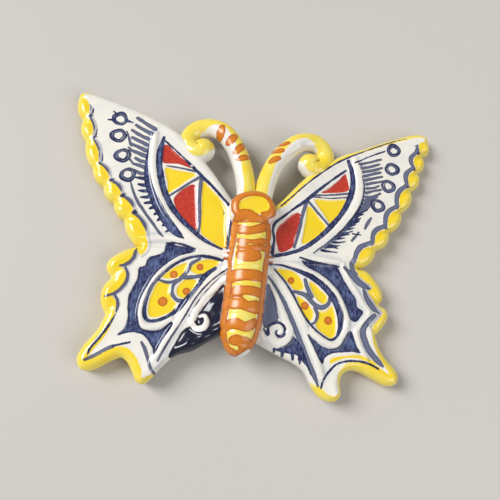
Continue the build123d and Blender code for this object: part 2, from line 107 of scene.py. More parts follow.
# Painted shapes of the forewings: strokes carry a half width, patches are closed
FORE_CELL = {
    "left": [(37.8, 39.8, 0.7), (38.6, 33.5, 1.25), (38.3, 28.0, 1.3), (36.7, 21.6, 1.35),
             (34.2, 15.3, 1.25), (31.1, 10.3, 1.15), (27.2, 5.9, 1.05), (22.8, 2.1, 0.95),
             (18.6, -1.1, 0.85), (14.0, -3.5, 0.7), (10.5, -4.9, 0.45)],
    "right": [(38.6, 38.8, 0.8), (40.2, 34.4, 1.05), (40.8, 30.0, 1.15), (40.4, 25.4, 1.25),
              (38.9, 20.7, 1.15), (36.6, 16.0, 1.05), (33.5, 11.5, 1.05), (29.4, 6.4, 1.05),
              (24.4, 1.5, 0.95), (19.4, -2.0, 0.85), (14.4, -4.1, 0.75), (9.4, -5.8, 0.65)],
}
FORE_CELL_LEAD = {
    "left": [(36.9, 38.2, 0.42), (32.9, 34.9, 0.42), (28.4, 31.1, 0.47), (23.9, 27.0, 0.63),
             (20.6, 24.0, 0.73), (16.2, 20.1, 0.52), (12.3, 16.1, 0.52), (9.3, 12.9, 0.6), (8.2, 9.1, 0.63),
             (8.0, 5.4, 0.63), (8.5, 1.8, 0.63), (8.4, -2.3, 0.52), (8.6, -4.8, 0.42)],
    "right": [(37.6, 34.6, 0.45), (30.7, 28.4, 0.52), (24.0, 21.8, 0.75), (20.9, 18.6, 0.75),
              (16.4, 14.7, 0.52), (12.5, 11.0, 0.52), (9.1, 7.6, 0.63), (8.5, 4.6, 0.55), (9.3, 1.1, 0.55),
              (9.0, -3.0, 0.7), (8.8, -5.6, 0.45)],
}
DIVIDERS = {
    "left": [[(35.4, 27.6, 0.31), (32.1, 27.3, 0.42), (28.0, 26.8, 0.42), (22.3, 25.8, 0.47)],
             [(32.7, 15.2, 0.47), (29.0, 18.2, 0.52), (24.9, 21.5, 0.52), (22.1, 23.6, 0.63)],
             [(21.1, 23.4, 0.73), (21.1, 18.0, 0.73), (20.8, 12.2, 0.73), (20.2, 6.5, 0.73),
              (20.0, 1.3, 0.63)]],
    "right": [[(23.5, 21.5, 0.47), (30.9, 22.7, 0.42), (38.8, 24.5, 0.42)],
              [(23.5, 20.9, 0.31), (31.0, 21.3, 0.31), (38.5, 22.8, 0.26)],
              [(22.0, 19.1, 0.52), (25.9, 15.0, 0.52), (30.9, 10.1, 0.52)],
              [(22.0, 19.1, 0.63), (20.4, 14.2, 0.73), (19.6, 9.3, 0.63), (18.6, 3.9, 0.63),
               (17.5, -0.9, 0.63)]],
}
RED_PANELS = {
    "left": [[(37.2, 36.7), (35.7, 36.5), (32.6, 34.0), (29.5, 31.5), (25.4, 28.5), (25.4, 27.6),
              (30.7, 28.8), (36.8, 29.0), (37.4, 32.0)],
             [(30.9, 13.5), (29.4, 16.8), (24.3, 20.5), (23.1, 20.0), (22.2, 15.3), (20.9, 5.9),
              (20.6, 2.8), (21.3, 1.8), (24.0, 3.8), (27.6, 7.4)]],
    "right": [[(37.5, 33.0), (38.6, 30.2), (39.3, 26.9), (38.6, 25.7), (31.4, 23.7), (27.6, 23.2),
               (31.3, 26.5), (35.0, 30.2)],
              [(17.8, 13.5), (19.3, 12.6), (19.1, 9.3), (18.0, 4.4), (17.1, -0.4), (15.8, -2.0),
               (11.8, -3.5), (10.5, -0.8), (9.9, 4.3), (13.1, 9.5)]],
}
YELLOW_PANELS = {
    "left": [[(35.6, 26.8), (32.0, 26.3), (27.4, 25.7), (23.4, 24.9), (26.4, 22.1), (31.4, 17.6),
              (33.2, 16.4), (34.4, 21.2)],
             [(20.0, 22.0), (17.2, 19.5), (11.6, 13.8), (10.2, 11.0), (9.8, 4.2), (9.0, -4.0), (10.7, -4.2),
              (16.1, -1.3), (19.0, 0.9), (19.6, 8.6)]],
    "right": [[(24.9, 19.9), (31.0, 20.6), (37.8, 21.5), (36.9, 17.7), (34.8, 14.1), (31.9, 10.9),
               (28.8, 14.4)],
              [(22.2, 16.7), (23.7, 16.1), (26.5, 13.0), (29.9, 8.9), (26.7, 4.7), (23.3, 2.0), (20.5, 0.8),
               (21.0, 6.3), (21.6, 11.8)]],
}
FRINGE_WEDGE = {
    "left": [(43.2, 37.6, 0.26), (43.4, 33.1, 0.47), (43.3, 28.1, 0.73), (42.6, 23.3, 1.2),
             (40.9, 18.0, 1.5), (38.3, 12.9, 1.7), (34.8, 7.4, 1.8), (31.2, 3.0, 1.8), (27.7, -0.3, 1.3),
             (25.4, -1.9, 0.31)],
    "right": [(44.6, 33.0, 0.3), (45.6, 28.6, 0.4), (45.3, 23.7, 0.45), (43.5, 18.4, 0.5),
              (40.4, 13.4, 0.5), (36.4, 8.0, 0.5), (31.0, 2.6, 0.45), (25.4, -2.3, 0.3)],
}
COMB_ROOT = {
    "left": [(40.5, 42.4), (41.9, 39.4), (43.0, 36.0), (43.3, 32.0), (43.1, 28.2), (42.3, 24.4),
             (41.1, 20.7), (39.4, 17.0), (37.2, 13.5), (34.8, 10.0), (32.2, 6.5), (29.3, 2.6)],
    "right": [(41.8, 37.5), (43.5, 34.9), (45.0, 31.2), (45.6, 27.3), (45.4, 23.3), (43.9, 18.7),
              (41.5, 14.5), (37.8, 9.7), (33.2, 4.8), (27.6, -0.7)],
}
COMB_TIP = {
    "left": [(49.4, 47.4), (50.6, 43.2), (50.9, 39.2), (50.5, 34.7), (49.2, 30.4), (48.1, 26.1),
             (47.3, 21.8), (46.0, 18.1), (44.6, 14.5), (42.2, 11.5), (37.5, 5.6), (32.4, 0.3)],
    "right": [(53.0, 42.0), (53.3, 38.2), (53.4, 34.2), (53.8, 31.4), (52.4, 26.1), (49.0, 22.0),
              (46.4, 16.8), (43.7, 12.6), (39.5, 6.7), (34.5, -0.9)],
}
COMB_STROKES = {"left": 19, "right": 26}
# Half widths of a fringe stroke at its root, middle and end, for the upper and the lower strokes
COMB_WIDTHS = {
    "left": [(0.9, 0.78, 0.66), (0.9, 0.75, 0.45)],
    "right": [(0.66, 0.6, 0.54), (0.66, 0.46, 0.2)],
}
RINGS = {
    "left": [(56.5, 46.5), (56.1, 39.0), (53.2, 30.6), (50.1, 22.6)],
    "right": [(58.7, 47.1), (57.9, 38.3), (56.3, 30.4), (51.8, 21.2)],
}
RING_RADIUS = {"left": 2.4, "right": 2.3}
FRINGE_TRIM = {
    "left": [[(48.9, 20.6, 0.3), (47.4, 16.6, 0.5), (45.2, 12.4, 0.6), (41.6, 7.6, 0.6), (37.4, 2.8, 0.6),
              (34.6, -0.6, 0.55), (33.2, -1.8, 0.3)],
             [(53.0, 41.2, 0.3), (51.6, 38.0, 0.5), (50.4, 35.0, 0.4)],
             [(50.6, 29.6, 0.5), (48.6, 27.4, 0.5)], [(51.4, 34.2, 0.4), (49.0, 32.6, 0.5)]],
    "right": [[(48.9, 15.3, 0.5), (47.3, 12.6, 0.8), (46.4, 10.6, 0.6)],
              [(43.8, 8.6, 0.4), (41.0, 4.8, 0.6)]],
}
FORE_MARKS = {
    "left": [[(11.0, 11.2, 0.26), (10.8, 9.4, 0.31)], [(59.6, 49.8, 0.35), (58.0, 48.6, 0.5)],
             [(61.2, 45.8, 0.35), (58.6, 46.0, 0.55)], [(53.8, 46.0, 0.8), (51.0, 45.2, 0.35)]],
    "right": [[(11.2, 15.3, 0.31), (14.6, 18.8, 0.37), (19.1, 23.8, 0.37), (26.3, 31.0, 0.42),
               (34.2, 37.7, 0.42), (42.5, 42.9, 0.37), (50.9, 47.5, 0.37), (59.6, 51.9, 0.31),
               (64.9, 53.9, 0.26)], [(41.2, 38.3, 0.37), (47.6, 42.3, 0.31), (54.7, 46.1, 0.31)],
              [(41.1, 7.7, 0.31), (44.6, 7.6, 0.26)]],
}

# Painted shapes of the hindwings
LEAF = {
    "left": [(9.6, -9.4, 0.48), (13.5, -8.5, 0.55), (18.4, -8.3, 0.55), (23.1, -9.5, 0.55),
             (27.6, -12.1, 0.55), (31.9, -16.4, 0.61), (34.8, -20.6, 0.61), (36.2, -24.6, 0.61),
             (36.8, -28.9, 0.68), (36.3, -32.7, 0.78), (35.0, -34.0, 0.68), (31.7, -33.7, 0.68),
             (27.8, -31.8, 0.68), (24.3, -28.6, 1.04), (21.5, -24.8, 1.04), (18.6, -20.5, 0.95),
             (15.3, -15.1, 0.95), (12.4, -12.6, 0.78)],
    "right": [(8.2, -9.1, 0.37), (12.7, -8.8, 0.42), (16.7, -9.5, 0.52), (20.9, -10.6, 0.8),
              (25.0, -12.1, 1.0), (29.2, -14.6, 1.1), (33.0, -18.2, 1.2), (35.7, -22.4, 1.2),
              (37.0, -26.7, 1.1), (36.9, -31.1, 0.8), (35.6, -34.1, 0.47), (33.6, -35.3, 0.42),
              (30.6, -34.1, 0.42), (26.9, -31.6, 0.42), (23.8, -28.5, 0.52), (20.6, -24.0, 0.52),
              (17.8, -19.4, 0.52), (14.0, -14.4, 0.52), (10.3, -10.8, 0.42)],
}
LEAF_DIVIDERS = {
    "left": [[(18.5, -9.3, 0.63), (21.6, -11.7, 0.73), (22.6, -14.2, 0.73), (24.7, -17.1, 0.73)],
             [(32.9, -18.6, 0.37), (29.2, -19.2, 0.63), (25.1, -17.9, 0.73)],
             [(25.1, -17.9, 0.73), (27.2, -20.0, 0.63), (27.3, -23.4, 0.73), (25.4, -25.6, 0.73),
              (22.1, -25.8, 0.63)], [(24.4, -17.1, 0.73), (19.5, -16.4, 0.73), (15.3, -15.1, 0.63)]],
    "right": [[(18.3, -18.4, 0.63), (22.8, -19.3, 0.94), (26.5, -22.4, 0.94), (29.4, -23.4, 0.94),
               (32.3, -21.5, 0.73), (32.5, -19.3, 0.63)],
              [(22.5, -13.4, 0.73), (23.7, -16.8, 0.94), (25.4, -19.6, 0.84)],
              [(26.8, -23.8, 0.63), (28.0, -26.4, 0.63), (27.1, -29.2, 0.52), (25.9, -30.0, 0.42)]],
}
LEAF_PANELS = {
    "left": [[(10.9, -9.8), (14.4, -9.2), (18.0, -9.9), (20.7, -11.6), (21.5, -13.9), (19.6, -15.1),
              (16.7, -15.0), (14.0, -13.3)],
             [(22.9, -11.4), (25.7, -12.1), (28.4, -13.9), (31.6, -17.3), (28.9, -17.8), (25.6, -16.9),
              (23.4, -15.0)],
             [(18.6, -18.0), (21.8, -17.2), (24.1, -18.4), (25.7, -20.6), (25.6, -23.5), (23.4, -24.7),
              (20.8, -23.6), (19.4, -21.3)],
             [(33.0, -19.3), (28.6, -20.2), (28.3, -23.4), (26.9, -25.7), (25.2, -27.2), (25.7, -29.0),
              (28.8, -31.1), (32.8, -32.7), (34.7, -32.4), (35.5, -30.2), (35.5, -26.4), (34.5, -22.5)]],
    "right": [[(10.9, -10.3), (14.3, -10.1), (17.3, -10.5), (19.9, -12.2), (21.8, -15.0), (22.0, -16.9),
               (20.7, -17.7), (18.2, -17.5), (16.1, -15.6), (12.9, -12.5)],
              [(24.2, -13.8), (25.6, -14.1), (28.3, -16.3), (31.5, -18.9), (31.4, -20.7), (30.3, -21.9),
               (28.5, -21.2), (26.4, -19.0), (24.8, -16.1)],
              [(19.5, -19.9), (21.4, -20.5), (24.0, -22.7), (26.0, -24.9), (26.3, -27.3), (25.3, -28.7),
               (23.8, -28.0), (21.9, -25.3), (20.2, -22.3)],
              [(28.8, -24.9), (30.7, -24.7), (33.6, -22.4), (35.0, -26.4), (35.5, -30.7), (35.1, -33.5),
               (33.6, -34.6), (30.5, -33.2), (27.6, -30.6), (28.4, -27.1)]],
}
DOTS = {
    "left": [(18.1, -12.3, 1.35), (27.6, -16.0, 1.45), (22.2, -22.0, 1.45), (30.5, -26.5, 1.8)],
    "right": [(17.0, -14.2, 1.4), (22.9, -23.3, 1.5), (32.4, -28.0, 1.6)],
}
FIELDS = {
    "left": [[(20.3, -5.9), (25.5, -5.0), (31.7, -4.6), (32.3, -7.3), (34.7, -9.0), (37.9, -10.5),
              (38.8, -13.5), (40.8, -14.4), (41.0, -18.6), (42.5, -22.9), (43.2, -25.1), (43.2, -29.4),
              (42.6, -33.2), (43.4, -37.4), (45.3, -40.1), (40.4, -38.8), (36.2, -39.4), (34.1, -41.3),
              (32.1, -43.9), (31.4, -45.9), (29.0, -40.9), (25.8, -34.6), (26.3, -33.9), (30.0, -36.8),
              (34.1, -37.6), (37.2, -36.7), (39.0, -31.9), (38.7, -26.7), (37.1, -22.2), (34.9, -17.4),
              (31.1, -12.7), (26.1, -8.9), (20.5, -6.8)]],
    "right": [[(20.6, -6.0), (24.8, -6.4), (29.9, -6.5), (35.2, -6.9), (36.8, -9.2), (38.5, -12.1),
               (41.2, -15.8), (43.4, -18.6), (44.0, -21.6), (46.4, -23.3), (45.4, -25.4), (43.3, -27.6),
               (41.2, -26.8), (39.6, -23.0), (37.5, -18.8), (34.8, -15.1), (31.4, -12.2), (27.0, -9.7),
               (22.8, -8.1)],
              [(24.3, -34.0), (27.1, -35.6), (30.2, -37.7), (33.7, -38.5), (36.9, -37.4), (38.8, -34.3),
               (40.3, -31.8), (41.4, -31.2), (42.7, -33.5), (44.3, -37.2), (45.7, -39.2), (42.3, -39.0),
               (38.3, -39.6), (34.3, -40.4), (31.9, -42.0), (30.7, -44.5), (29.4, -43.2), (27.3, -39.6)]],
}
HIND_LINES = {
    "left": [[(31.7, -4.2, 0.31), (28.6, -3.9, 0.37), (24.6, -4.5, 0.42), (20.3, -5.7, 0.31)],
             [(46.9, -32.1, 0.26), (48.3, -35.5, 0.47), (50.5, -39.4, 0.63), (52.8, -42.8, 0.63),
              (54.5, -45.7, 0.47), (55.0, -48.0, 0.26)],
             [(46.5, -44.2, 0.47), (43.5, -43.2, 0.47), (40.6, -42.4, 0.37)],
             [(7.8, -12.6, 0.26), (11.4, -15.5, 0.31), (15.7, -20.3, 0.31), (19.0, -25.4, 0.31),
              (21.3, -30.5, 0.37), (24.0, -35.9, 0.37), (26.7, -41.2, 0.42), (29.8, -48.1, 0.47)],
             [(8.4, -14.4, 0.21), (11.7, -17.5, 0.21), (15.5, -22.4, 0.21), (18.2, -27.0, 0.21),
              (20.3, -31.4, 0.21)],
             [(8.8, -18.5, 0.3), (11.6, -21.2, 0.35), (14.4, -24.0, 0.35), (16.6, -26.4, 0.3)]],
    "right": [[(52.9, -44.4, 0.37), (49.1, -42.9, 0.42), (44.5, -42.3, 0.42), (39.4, -42.8, 0.42),
               (35.9, -44.3, 0.42), (33.1, -47.3, 0.47), (31.2, -50.4, 0.47), (30.5, -53.1, 0.37)],
              [(19.8, -4.9, 0.3), (24.8, -5.9, 0.45), (30.0, -6.2, 0.45), (36.0, -6.6, 0.3)]],
}
HIND_SHADES = {
    "left": [[(42.3, -6.8, 0.45), (43.0, -8.4, 0.61), (43.4, -10.9, 0.68), (45.7, -13.5, 0.68),
              (48.1, -14.3, 0.38)],
             [(45.9, -14.7, 0.38), (44.7, -17.5, 0.61), (45.0, -20.4, 0.68), (46.8, -23.2, 0.68),
              (48.9, -25.1, 0.54), (52.0, -26.3, 0.3)],
             [(48.3, -25.5, 0.38), (47.0, -27.8, 0.61), (46.8, -30.2, 0.68), (47.0, -31.6, 0.45)],
             [(55.7, -49.7, 0.61), (52.5, -48.0, 0.75), (49.2, -45.7, 0.68), (46.5, -44.2, 0.68)],
             [(36.3, -42.0, 0.45), (34.7, -44.6, 0.68), (33.2, -48.1, 0.61), (31.5, -51.6, 0.54),
              (30.2, -52.9, 0.45)]],
    "right": [[(38.1, -6.7, 0.73), (41.0, -9.2, 1.2), (45.4, -12.6, 1.2), (48.8, -14.0, 0.42)],
              [(46.2, -14.5, 0.52), (47.8, -18.1, 1.0), (50.3, -21.4, 1.1), (53.0, -23.4, 0.31)],
              [(51.1, -24.1, 0.84), (47.8, -27.6, 1.2), (46.3, -30.7, 1.3), (47.4, -35.0, 1.3),
               (50.0, -39.1, 1.2), (53.2, -42.1, 1.0), (54.7, -43.4, 0.42)],
              [(25.0, -11.1, 0.21), (30.2, -14.0, 0.21), (34.5, -18.1, 0.21), (37.3, -22.7, 0.21),
               (38.4, -27.1, 0.21), (38.0, -31.0, 0.21)],
              [(8.0, -14.1, 0.63), (11.2, -17.7, 0.73), (15.1, -23.6, 0.84), (18.4, -30.0, 0.94),
               (21.7, -36.8, 1.0), (24.5, -42.7, 1.0), (27.7, -48.9, 0.84), (29.4, -52.5, 0.42)]],
}
INNER_GROUND = {
    "left": [[(8.5, -18.7), (10.9, -21.1), (14.4, -24.0), (16.2, -27.3), (18.0, -31.2), (18.1, -34.1),
              (20.7, -35.6), (22.4, -37.3), (24.1, -41.0), (26.0, -46.6), (21.7, -46.4), (16.6, -44.6),
              (10.5, -42.6), (6.0, -38.0), (5.0, -30.0), (6.6, -22.7)]],
    "right": [[(18.4, -35.0), (17.8, -36.7), (16.4, -38.3), (13.6, -40.1), (11.5, -40.6), (14.7, -41.5),
               (16.1, -41.6), (18.1, -41.9), (20.5, -42.0), (22.6, -44.0), (24.6, -45.9), (26.7, -48.9),
               (24.5, -43.1), (21.8, -37.8)]],
}
WASH_GROUND = {
    "left": [],
    "right": [[(7.0, -16.6), (9.3, -17.9), (11.3, -22.1), (12.5, -26.8), (13.0, -30.1), (10.2, -32.0),
               (7.8, -33.4), (6.6, -30.2), (6.8, -23.9)]],
}
# Orange dabs that run from the body on to the wings
ROOT_DABS = [[(7.2, y, 0.6), (9.3, y + 0.3, 0.42)] for y in (-2.4, -4.4, -6.6, -8.8)]
CURL = {
    "left": [(8.5, -16.0, 1.15), (12.3, -21.2, 1.05), (15.7, -25.8, 1.15), (18.1, -29.8, 1.26),
             (18.7, -33.2, 1.26), (17.3, -35.4, 1.26), (14.7, -35.2, 1.15), (13.6, -32.8, 0.94),
             (14.7, -30.7, 0.73), (16.3, -31.1, 0.52)],
    "right": [(8.1, -15.6, 0.52), (10.9, -19.7, 0.73), (13.6, -24.7, 0.94), (15.7, -29.8, 1.26),
              (17.6, -33.4, 1.36), (16.3, -36.9, 1.46), (13.5, -38.3, 1.46), (11.0, -36.4, 1.36),
              (11.0, -33.8, 1.15), (13.1, -32.2, 1.05), (14.4, -33.5, 0.73), (14.0, -34.7, 0.52)],
}
CURL_LINES = {
    "left": [[(17.8, -33.1, 0.31), (16.7, -34.2, 0.31), (15.6, -33.4, 0.31), (16.0, -32.0, 0.26)]],
    "right": [[(7.5, -33.9, 0.36), (9.2, -35.6, 0.59), (9.3, -32.8, 0.43), (11.4, -31.1, 0.52),
               (14.0, -31.0, 0.52), (15.5, -32.7, 0.52), (15.3, -35.1, 0.59), (13.6, -35.9, 0.59),
               (12.2, -34.7, 0.43), (12.5, -33.8, 0.36)], [(12.0, -40.6, 0.56), (12.2, -41.6, 0.42)],
              [(15.3, -41.6, 0.7), (15.5, -43.5, 0.49)], [(19.0, -41.8, 0.7), (19.4, -43.7, 0.49)],
              [(21.8, -43.2, 0.7), (22.2, -45.0, 0.42)]],
}
# Yellow of the hindwing lobes, bounded on the inside by the painted scallops and reaching past the edge
HIND_PADS = {
    "left": [(42.6, -6.4), (43.4, -10.7), (45.4, -13.3), (47.6, -14.3), (45.7, -16.0), (44.9, -18.5),
             (45.2, -20.6), (46.8, -23.2), (49.4, -25.4), (47.7, -27.4), (46.9, -30.2), (47.0, -33.4),
             (60.0, -35.0), (60.0, -8.0), (48.0, -3.0)],
    "right": [(40.0, -4.6), (42.6, -8.0), (46.6, -11.2), (49.8, -13.4), (48.0, -15.0), (49.8, -17.6),
              (51.9, -20.4), (54.2, -22.8), (52.6, -25.4), (50.2, -28.8), (49.6, -32.4), (62.0, -34.0),
              (62.0, -8.0), (48.0, -2.0)],
}
TAIL_YELLOW = {
    "left": [],
    "right": [[(33.9, -42.4), (36.8, -41.2), (41.4, -40.3), (45.4, -40.0), (48.5, -40.9), (51.6, -42.3),
               (52.2, -43.6), (48.5, -42.0), (44.4, -41.2), (39.4, -41.6), (35.9, -43.0), (33.5, -44.2)]],
}

# Raised lines of the mould, as half widths along their middles
RIDGES = {
    "left": [[(41.5, 41.0, 1.0), (41.2, 33.5, 1.2), (40.8, 28.0, 1.2), (39.2, 21.0, 1.2), (36.6, 14.4, 1.2),
              (33.4, 9.0, 1.2), (29.2, 4.2, 1.2), (24.4, 0.0, 1.2), (18.5, -4.0, 1.4), (8.0, -6.8, 1.6)],
             [(18.5, -4.6, 1.2), (26.0, -2.6, 1.2), (34.0, -2.2, 1.2), (43.0, -4.0, 1.2)],
             [(8.0, -7.4, 1.0), (18.0, -7.0, 0.9), (24.6, -8.2, 0.9), (29.4, -11.6, 0.9),
              (33.4, -16.2, 0.9), (36.0, -20.8, 0.9), (37.8, -26.0, 0.9), (38.2, -31.8, 0.9),
              (36.4, -35.8, 1.0), (31.0, -35.6, 1.0), (26.6, -33.0, 1.0)],
             [(8.0, -11.4, 1.2), (12.4, -15.6, 1.4), (17.4, -21.4, 1.5), (22.4, -30.6, 1.5),
              (27.4, -40.4, 1.4), (31.0, -48.8, 1.3)]],
    "right": [[(41.2, 40.0, 1.2), (43.2, 33.6, 1.5), (43.8, 28.0, 1.5), (42.8, 21.6, 1.5),
               (39.4, 14.6, 1.5), (34.6, 8.2, 1.5), (28.6, 2.4, 1.5), (21.4, -2.8, 1.5), (8.0, -7.0, 1.4)],
              [(20.0, -4.6, 1.0), (28.0, -4.6, 1.0), (36.0, -4.8, 0.6)],
              [(8.0, -7.8, 1.0), (17.0, -8.0, 0.9), (24.6, -10.2, 0.9), (30.4, -13.0, 0.9),
               (35.0, -17.2, 0.9), (38.0, -22.4, 0.9), (39.8, -28.0, 1.0), (38.6, -33.0, 1.0),
               (35.6, -37.0, 1.0), (30.2, -35.8, 1.0), (25.6, -32.6, 1.0)],
              [(8.3, -11.1, 1.0), (12.0, -14.6, 1.1), (16.3, -20.1, 1.2), (20.7, -26.9, 1.3),
               (25.1, -35.6, 1.3), (28.4, -42.8, 1.2), (30.4, -49.1, 1.1)],
              [(37.4, -5.6, 0.8), (40.0, -11.4, 0.8), (43.6, -16.2, 0.8), (46.0, -20.0, 0.8),
               (48.6, -23.6, 0.8), (45.4, -28.4, 0.9), (43.6, -31.0, 0.9), (44.8, -35.6, 0.8),
               (48.0, -41.2, 0.8)]],
}

# Head, body and antennae, with x to the right of the ornament and body paint seen in plan
HEAD_OUTLINE = [(-9.2, 12.0), (-7.6, 15.0), (-4.6, 17.0), (-1.6, 18.0), (2.7, 18.0), (6.0, 16.2),
                (8.3, 12.6), (8.8, 9.2), (6.6, 6.0), (4.0, 5.0), (-5.4, 4.6), (-8.4, 7.2)]
HEAD_PATCH = [(-5.6, 12.3), (-2.9, 14.4), (2.2, 15.4), (4.9, 14.4), (5.9, 12.3), (5.4, 10.6), (2.6, 9.3),
              (0.7, 8.5), (-1.5, 9.7), (-4.6, 9.4), (-5.9, 10.4)]
HEAD_FRAME = [(-5.4, 6.6, 1.1), (-7.2, 9.4, 1.1), (-7.2, 12.4, 1.2), (-5.6, 14.6, 1.2), (-2.6, 16.2, 1.2),
              (1.8, 16.7, 1.2), (5.2, 15.4, 1.2), (7.0, 12.6, 1.2), (7.0, 9.8, 1.3), (5.4, 8.2, 1.2),
              (3.6, 8.0, 0.9)]
HEAD_BANDS = [[(-7.4, 5.4), (-5.0, 8.7), (-2.5, 9.3), (0.7, 8.1), (2.3, 7.4), (5.2, 6.8), (5.6, 4.6),
               (0.0, 3.6), (-6.6, 3.8)]]
BODY_ORANGE = [[(-6.4, 9.0), (0.0, 9.6), (5.6, 9.0), (5.2, 5.9), (0.4, 5.0), (-5.8, 5.2)],
               [(-5.6, 3.2), (-0.9, 2.6), (4.8, 4.9), (4.8, 2.5), (0.3, 0.4), (-4.9, 0.4)],
               [(-5.2, -2.0), (-0.4, -2.4), (5.5, -1.2), (5.6, -2.4), (-0.2, -3.5), (-5.0, -3.2)],
               [(-4.9, -4.6), (0.0, -4.4), (5.7, -4.0), (5.8, -5.2), (0.2, -5.5), (-4.7, -5.7)],
               [(-4.7, -6.6), (2.9, -5.9), (3.7, -8.6), (-0.9, -10.4), (-4.8, -8.9)],
               [(-6.8, -14.6), (-1.4, -13.7), (4.4, -14.0), (4.9, -16.7), (-1.2, -17.2), (-6.5, -18.1)],
               [(-5.4, -20.5), (-0.4, -19.9), (4.6, -20.2), (4.8, -22.6), (-0.4, -22.6), (-5.2, -23.3)],
               [(-6.6, -24.8), (-2.4, -23.8), (0.2, -25.4), (3.8, -24.7), (4.4, -28.7), (0.5, -28.6),
                (-2.5, -27.9), (-6.0, -27.6)],
               [(-6.6, -32.9), (-3.2, -31.7), (-0.2, -32.8), (3.4, -31.2), (3.3, -34.3), (0.0, -35.6),
                (-3.9, -35.0), (-6.3, -35.7)],
               [(-5.2, -39.0), (-3.1, -37.4), (-0.6, -38.0), (1.8, -38.3), (2.9, -40.2), (0.7, -42.4),
                (-1.6, -43.9), (-1.4, -41.2), (-4.3, -40.4)]]
BODY_YELLOW = [[(-5.4, 4.6), (0.0, 5.4), (4.8, 5.4), (5.2, -2.0), (5.0, -10.0), (4.6, -20.0), (4.0, -30.0),
                (3.0, -38.0), (0.0, -43.0), (-3.6, -43.0), (-6.0, -38.4), (-6.2, -30.0), (-6.0, -20.0),
                (-5.8, -10.0), (-5.6, -2.0)]]
BODY_STRIPES = [[(-6.8, 5.4, 0.9), (-7.0, -3.1, 1.0), (-7.6, -10.5, 0.8), (-7.2, -18.7, 1.0),
                 (-7.4, -26.8, 1.0), (-7.8, -32.7, 1.0), (-7.6, -37.6, 1.1), (-5.7, -42.0, 1.0),
                 (-2.4, -43.6, 0.7)],
                [(5.6, 6.6, 0.8), (6.4, 2.1, 0.9), (6.5, -7.0, 0.8), (6.1, -11.2, 0.9), (5.9, -17.4, 0.9),
                 (5.6, -24.6, 0.9), (5.5, -29.6, 0.9), (4.8, -35.5, 0.9), (3.2, -41.0, 0.7)]]
BODY_GROOVES = [5.2, -0.4, -6.0, -12.6, -18.3, -24.0, -28.8, -35.4, -40.2]
BODY_AXIS = [(0.0, 8.0), (0.0, -4.0), (-0.4, -20.0), (-1.2, -36.0), (-1.6, -45.0)]
BODY_LEVEL = 12.0
BODY_TAPER_START = -29.0
BODY_END = -44.8
ANTENNA_LINE = {
    "left": [(3.2, 13.5), (2.9, 19.0), (4.2, 27.0), (6.4, 34.0), (9.4, 40.0), (13.6, 44.9), (18.5, 47.2),
             (23.4, 46.7), (27.0, 43.9), (27.8, 39.8), (25.4, 36.2), (22.6, 36.0), (21.6, 37.0)],
    "right": [(3.6, 13.5), (4.0, 19.5), (5.9, 28.3), (9.2, 35.8), (13.5, 41.2), (19.1, 45.4), (24.7, 46.0),
              (28.4, 43.2), (29.3, 38.9), (26.6, 35.0), (23.6, 34.6), (22.5, 35.8)],
}
ANTENNA_LEVELS = [(0.0, 12.0), (0.1, 10.6), (0.3, 9.4), (0.55, 8.8), (0.7, 6.9), (0.8, 6.3), (0.9, 7.0),
                  (1.0, 7.6)]
ANTENNA_TAPER = [(0.0, 1.02), (0.3, 1.04), (0.55, 1.08), (0.75, 1.0), (0.88, 1.0), (0.95, 1.22), (1.0, 1.3)]
ANTENNA_BORDER = [(0.0, -1.6), (0.25, -0.9), (0.45, 0.2), (0.56, 0.8), (0.63, 0.0), (0.7, -2.6),
                  (0.8, -2.6), (0.9, -1.6), (1.0, -1.6)]
ANTENNA_DABS = {
    "left": [[(15.4, 42.0, 1.4), (15.2, 44.2, 1.68), (14.9, 45.9, 1.26)],
             [(11.6, 39.6, 1.4), (10.4, 41.0, 1.68), (9.2, 42.4, 1.12)],
             [(8.4, 35.6, 1.4), (7.0, 37.4, 1.54), (5.6, 39.4, 0.98)],
             [(7.2, 32.4, 1.12), (5.4, 33.2, 1.4), (3.6, 34.0, 0.98)]],
    "right": [[(12.3, 42.3, 1), (10.6, 41.8, 1.12), (8.9, 41.0, 0.75)],
              [(10.1, 38.6, 1), (8.4, 38.3, 1.25), (6.8, 37.8, 0.88)],
              [(9.2, 35.0, 0.75), (7.6, 34.4, 1.38), (5.7, 33.0, 1)]],
}

# Reach of the yellow from the edge at shares along the leading edge and along the tails
PAD_LEAD = {
    "left": [(0.0, -1.0), (0.2, 0.3), (0.9, 0.7), (1.0, 3.0)],
    "right": [(0.0, 1.0), (0.1, 2.8), (0.6, 2.2), (1.0, 2.6)],
}
PAD_TAIL = {
    "left": [(0.0, 4.2), (0.12, 4.4), (0.28, 4.6), (0.42, 4.0), (0.55, 3.6), (0.62, 1.6), (0.68, -1.0),
             (1.0, -3.0)],
    "right": [(0.0, 2.4), (0.1, 2.8), (0.2, 5.0), (0.36, 5.0), (0.44, 3.0), (0.52, 1.2), (0.6, 2.4),
              (0.68, 2.6), (0.74, -1.0), (1.0, -3.0)],
}
# Reach on the forewing lobes: at the valleys, what a lobe's middle adds, and what the lower lobes add
PAD_FORE = {"left": (2.9, 2.5, 1.7), "right": (2.1, 4.0, 0.0)}
PAD_LOW_SPAN = (4.0, 30.0)
# Lines beside the yellow of the margin: distance of their middle from its border, and half width
HIND_SHADE_LINE = (0.6, 0.7)
RIGHT_BAND = (1.3, 1.1)
RIGHT_DOT = (0.1, 0.7)
LEFT_HOOK = (0.3, 0.4)
LEFT_END = (1.6, 0.7)
LEFT_TICK = (0.8, 1.5)
LEFT_SHADE = (0.9, 0.85)
# The dots and ticks again, along the lobe from its start
RIGHT_DOT_ALONG = (0.4, 0.6)
LEFT_TICK_ALONG = (0.2, 0.5)
# What the lower lobes add to the hooks, and the span of y over which they change
LEFT_HOOK_LOW = 0.36
LEFT_LOW_SPAN = (14.0, 32.0)
